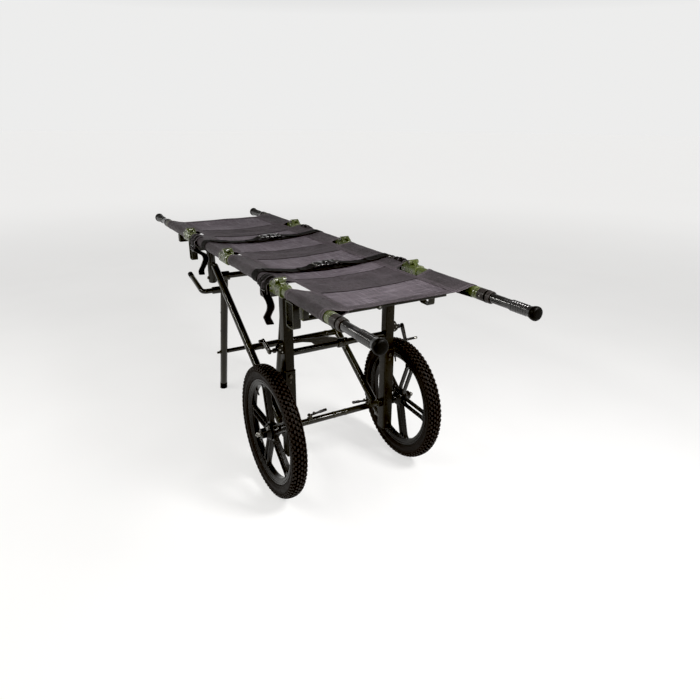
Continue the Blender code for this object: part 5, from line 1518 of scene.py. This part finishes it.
for end, y, body in (("front", -0.345, "litter_front"), ("rear", 0.255, "litter_rear")):
    p = Piece(f"{end}_strap_webbing")
    line = []
    half = [(x, strap_z(x)) for x in np.linspace(0, 0.2560, 30)]
    over = wrap_round(1, y, r=0.0226, turns=-268)
    hook = half[:-1] + over
    for x, z in reversed(hook):
        line.append((-x, y + 0.0016 * math.sin(9 * x), z))
    for x, z in hook[1:]:
        line.append((x, y + 0.0016 * math.sin(9 * x), z))
    line = [np.array(q) for q in line]
    ribbon(p, line, [Y_] * len(line), 0.0490, 0.0020, WEB, 6)
    # doubled webbing over the poles and beside the buckle, one loose end
    for s in (-1, 1):
        upper = [(s * x, y, z + 0.0023) for x, z in [(x, strap_z(x)) for x in np.linspace(0.176, 0.2560, 10)]]
        ribbon(p, upper, Y_, 0.0480, 0.0017, WEB, 4)
        for e in (-1, 1):
            stitches(p, [(s * x, y + e * 0.020, strap_z(x) + 0.0034) for x in np.linspace(0.180, 0.214, 10)], Z_, mat=THREAD)
        for xx in (0.181, 0.212):
            stitches(p, [(s * xx, y + q, strap_z(xx) + 0.0034) for q in np.linspace(-0.020, 0.020, 10)], Z_, mat=THREAD)
    bx, by, yaw = (0.006, y + 0.022, 0.08) if end == "front" else (0.032, y + 0.022, -0.05)
    z = strap_z(bx)
    side_release(p, (bx, by, z + 0.0105), yaw)
    # adjusting end lying on the strap
    tail = [(bx + 0.046, by, z + 0.0110), (bx + 0.058, by - 0.004, z + 0.0130), (bx + 0.080, by - 0.012, strap_z(bx + 0.08) + 0.0075), (bx + 0.110, by - 0.018, strap_z(bx + 0.11) + 0.0036), (bx + 0.135, by - 0.020, strap_z(bx + 0.135) + 0.0034)]
    ribbon(p, fillet(tail, 0.02, 5), Y_, 0.0460, 0.0017, WEB, 4)
    tail = [(bx - 0.047, by, z + 0.0105), (bx - 0.060, by - 0.004, z + 0.0125), (bx - 0.078, by - 0.012, strap_z(bx - 0.078) + 0.0066), (bx - 0.100, by - 0.018, strap_z(bx - 0.1) + 0.0034), (bx - 0.124, by - 0.020, strap_z(bx - 0.124) + 0.0034)]
    ribbon(p, fillet(tail, 0.02, 5), Y_, 0.0440, 0.0017, WEB, 4)
    obj = p.done(body, f"{end}_strap", slot="black_webbing")

# ---------------------------------------------------------------- straps that tie the poles to the cradles
def loop_band(p, s, y, r, width, t, lean, a0=112.0, a1=20.0, tail=()):
    """Webbing over the pole, leaning along it, then down past the outside of the cradle."""
    arc = [(POLE_X + r * math.cos(a), POLE_Z + r * math.sin(a)) for a in np.radians(np.linspace(a0, a1, 18))]
    pts, line = [], arc + list(tail)
    P = fillet([np.array(q) for q in line], 0.004, 2)
    m = len(P)
    pts = [(s * q[0], y + lean * (k / (m - 1) - 0.4), q[1]) for k, q in enumerate(P)]
    ribbon(p, pts, Y_, width, t, WEB, 5)
    # folded edges of the webbing, coloured light as a painted highlight
    for e in (-1, 1):
        sweep(p, [(a, b + e * width * 0.49, c) for a, b, c in pts], t * 0.72, EDGE_HIGHLIGHT, 8)


# painted highlight: a light colour along the webbing's folded edges
EDGE_HIGHLIGHT = woven("webbing_edge_painted_highlight", "black_webbing", rgb(40, 37, 39), rgb(88, 82, 86), 0.0016, 0.03, 0.40, 0.45)

for side, s in SIDES:
    for end, y, body in (("front", POST_Y, "litter_front"), ("rear", REAR_Y - 0.010, "litter_rear")):
        p = Piece(f"{side}_{end}_tie_strap")
        lean = 0.006
        loop_band(p, s, y + 0.0010, 0.0226, 0.0400, 0.0020, lean, tail=[(0.2985, 0.8440), (0.3024, 0.8380), (0.3026, 0.8240), (0.3024, 0.8100), (0.3026, 0.7960)])
        loop_band(p, s, y - 0.0200, 0.0254, 0.0300, 0.0020, -0.010, a0=124, tail=[(0.3020, 0.8450), (0.3052, 0.8360), (0.3052, 0.8200), (0.3050, 0.8080)])
        loop_band(p, s, y + 0.0215, 0.0256, 0.0260, 0.0020, 0.012, a0=126, tail=[(0.3022, 0.8450), (0.3050, 0.8360), (0.3050, 0.8260)])
        loop_band(p, s, y + 0.0010, 0.0284, 0.0240, 0.0018, 0.014, a0=104, tail=[(0.3052, 0.8450), (0.3072, 0.8360), (0.3074, 0.8240)])
        # ladder-lock buckle on the outside
        outer = rounded_rect(0.0420, 0.0280, 0.0045, 4)
        inner = rounded_rect(0.0320, 0.0180, 0.0030, 4)
        x0 = min(s * 0.3064, s * 0.3112)
        plate(p, [(u, v) for u, v in outer], (x0, y - 0.012, 0.8080), Y_, Z_, 0.0048, BUCKLE, 0.0012, hole=[(u, v) for u, v in inner])
        rod(p, (s * 0.3088, y - 0.029, 0.8080), (s * 0.3088, y + 0.005, 0.8080), 0.0020, BUCKLE, 16)
        obj = p.done(body, slot="black_webbing")

        # loose end hanging in front of the cradle, clear of it when the litter is lifted
        q = Piece(f"{side}_{end}_strap_tail")
        if end == "front":
            pts = [(0.3060, -0.4700, 0.8180), (0.3060, -0.4830, 0.8040), (0.3000, -0.4870, 0.7900), (0.2950, -0.4880, 0.7700), (0.2965, -0.4875, 0.7560), (0.3060, -0.4870, 0.7400), (0.3110, -0.4865, 0.7300), (0.3060, -0.4865, 0.7190), (0.3000, -0.4860, 0.7040)]
        else:
            pts = [(0.3060, 0.3660, 0.8140), (0.2960, 0.3530, 0.7980), (0.2620, 0.3520, 0.7760), (0.2570, 0.3520, 0.7560), (0.2700, 0.3520, 0.7300), (0.2850, 0.3525, 0.7060), (0.2830, 0.3530, 0.6880)]
        P = fillet([np.array((s * a, b, c)) for a, b, c in pts], 0.03, 5)
        across = [unit((s * -1.0, -0.30 + 0.0 * k, 0.10 * math.sin(k * 0.3))) for k in range(len(P))]
        ribbon(q, P, across, 0.0250, 0.0022, WEB, 4)
        # the tail's folded edges carry the same painted highlight
        for e in (-1, 1):
            sweep(q, [pt + a_ * e * 0.0123 for pt, a_ in zip(P, across)], 0.0015, EDGE_HIGHLIGHT, 8)
        tip = P[-1]
        d = unit(P[-1] - P[-2])
        # doubled, sewn end
        ribbon(q, [tip - d * 0.016 + Y_ * -0.0021, tip - d * 0.004 + Y_ * -0.0021, tip + d * 0.002 + Y_ * -0.0014], across[-1], 0.0240, 0.0020, WEB, 4)
        stitches(q, [tip - d * 0.010 + across[-1] * u + Y_ * -0.0034 for u in np.linspace(-0.010, 0.010, 6)], (0, -1, 0))
        obj = q.done(body, slot="black_webbing")

# ring and short loop on the right pole beside the front strap
p = Piece("right_pole_ring")
for yy, r in ((-0.3780, 0.0240), (-0.3745, 0.0240)):
    pts = [(POLE_X + r * math.cos(a), yy + 0.001 * math.sin(2 * a), POLE_Z + r * math.sin(a)) for a in np.radians(np.linspace(-150, 195, 40))]
    sweep(p, pts, 0.0015, BUCKLE, 10)
sweep(p, [(0.2600 + 0.0085 * math.cos(a), -0.3850 + 0.012 * math.sin(a), 0.8605 + 0.003 * math.sin(a)) for a in np.linspace(0, math.tau, 28, endpoint=False)], 0.0017, DARK_STEEL, 10, closed=True)
p.done("litter_front", slot="black_webbing")
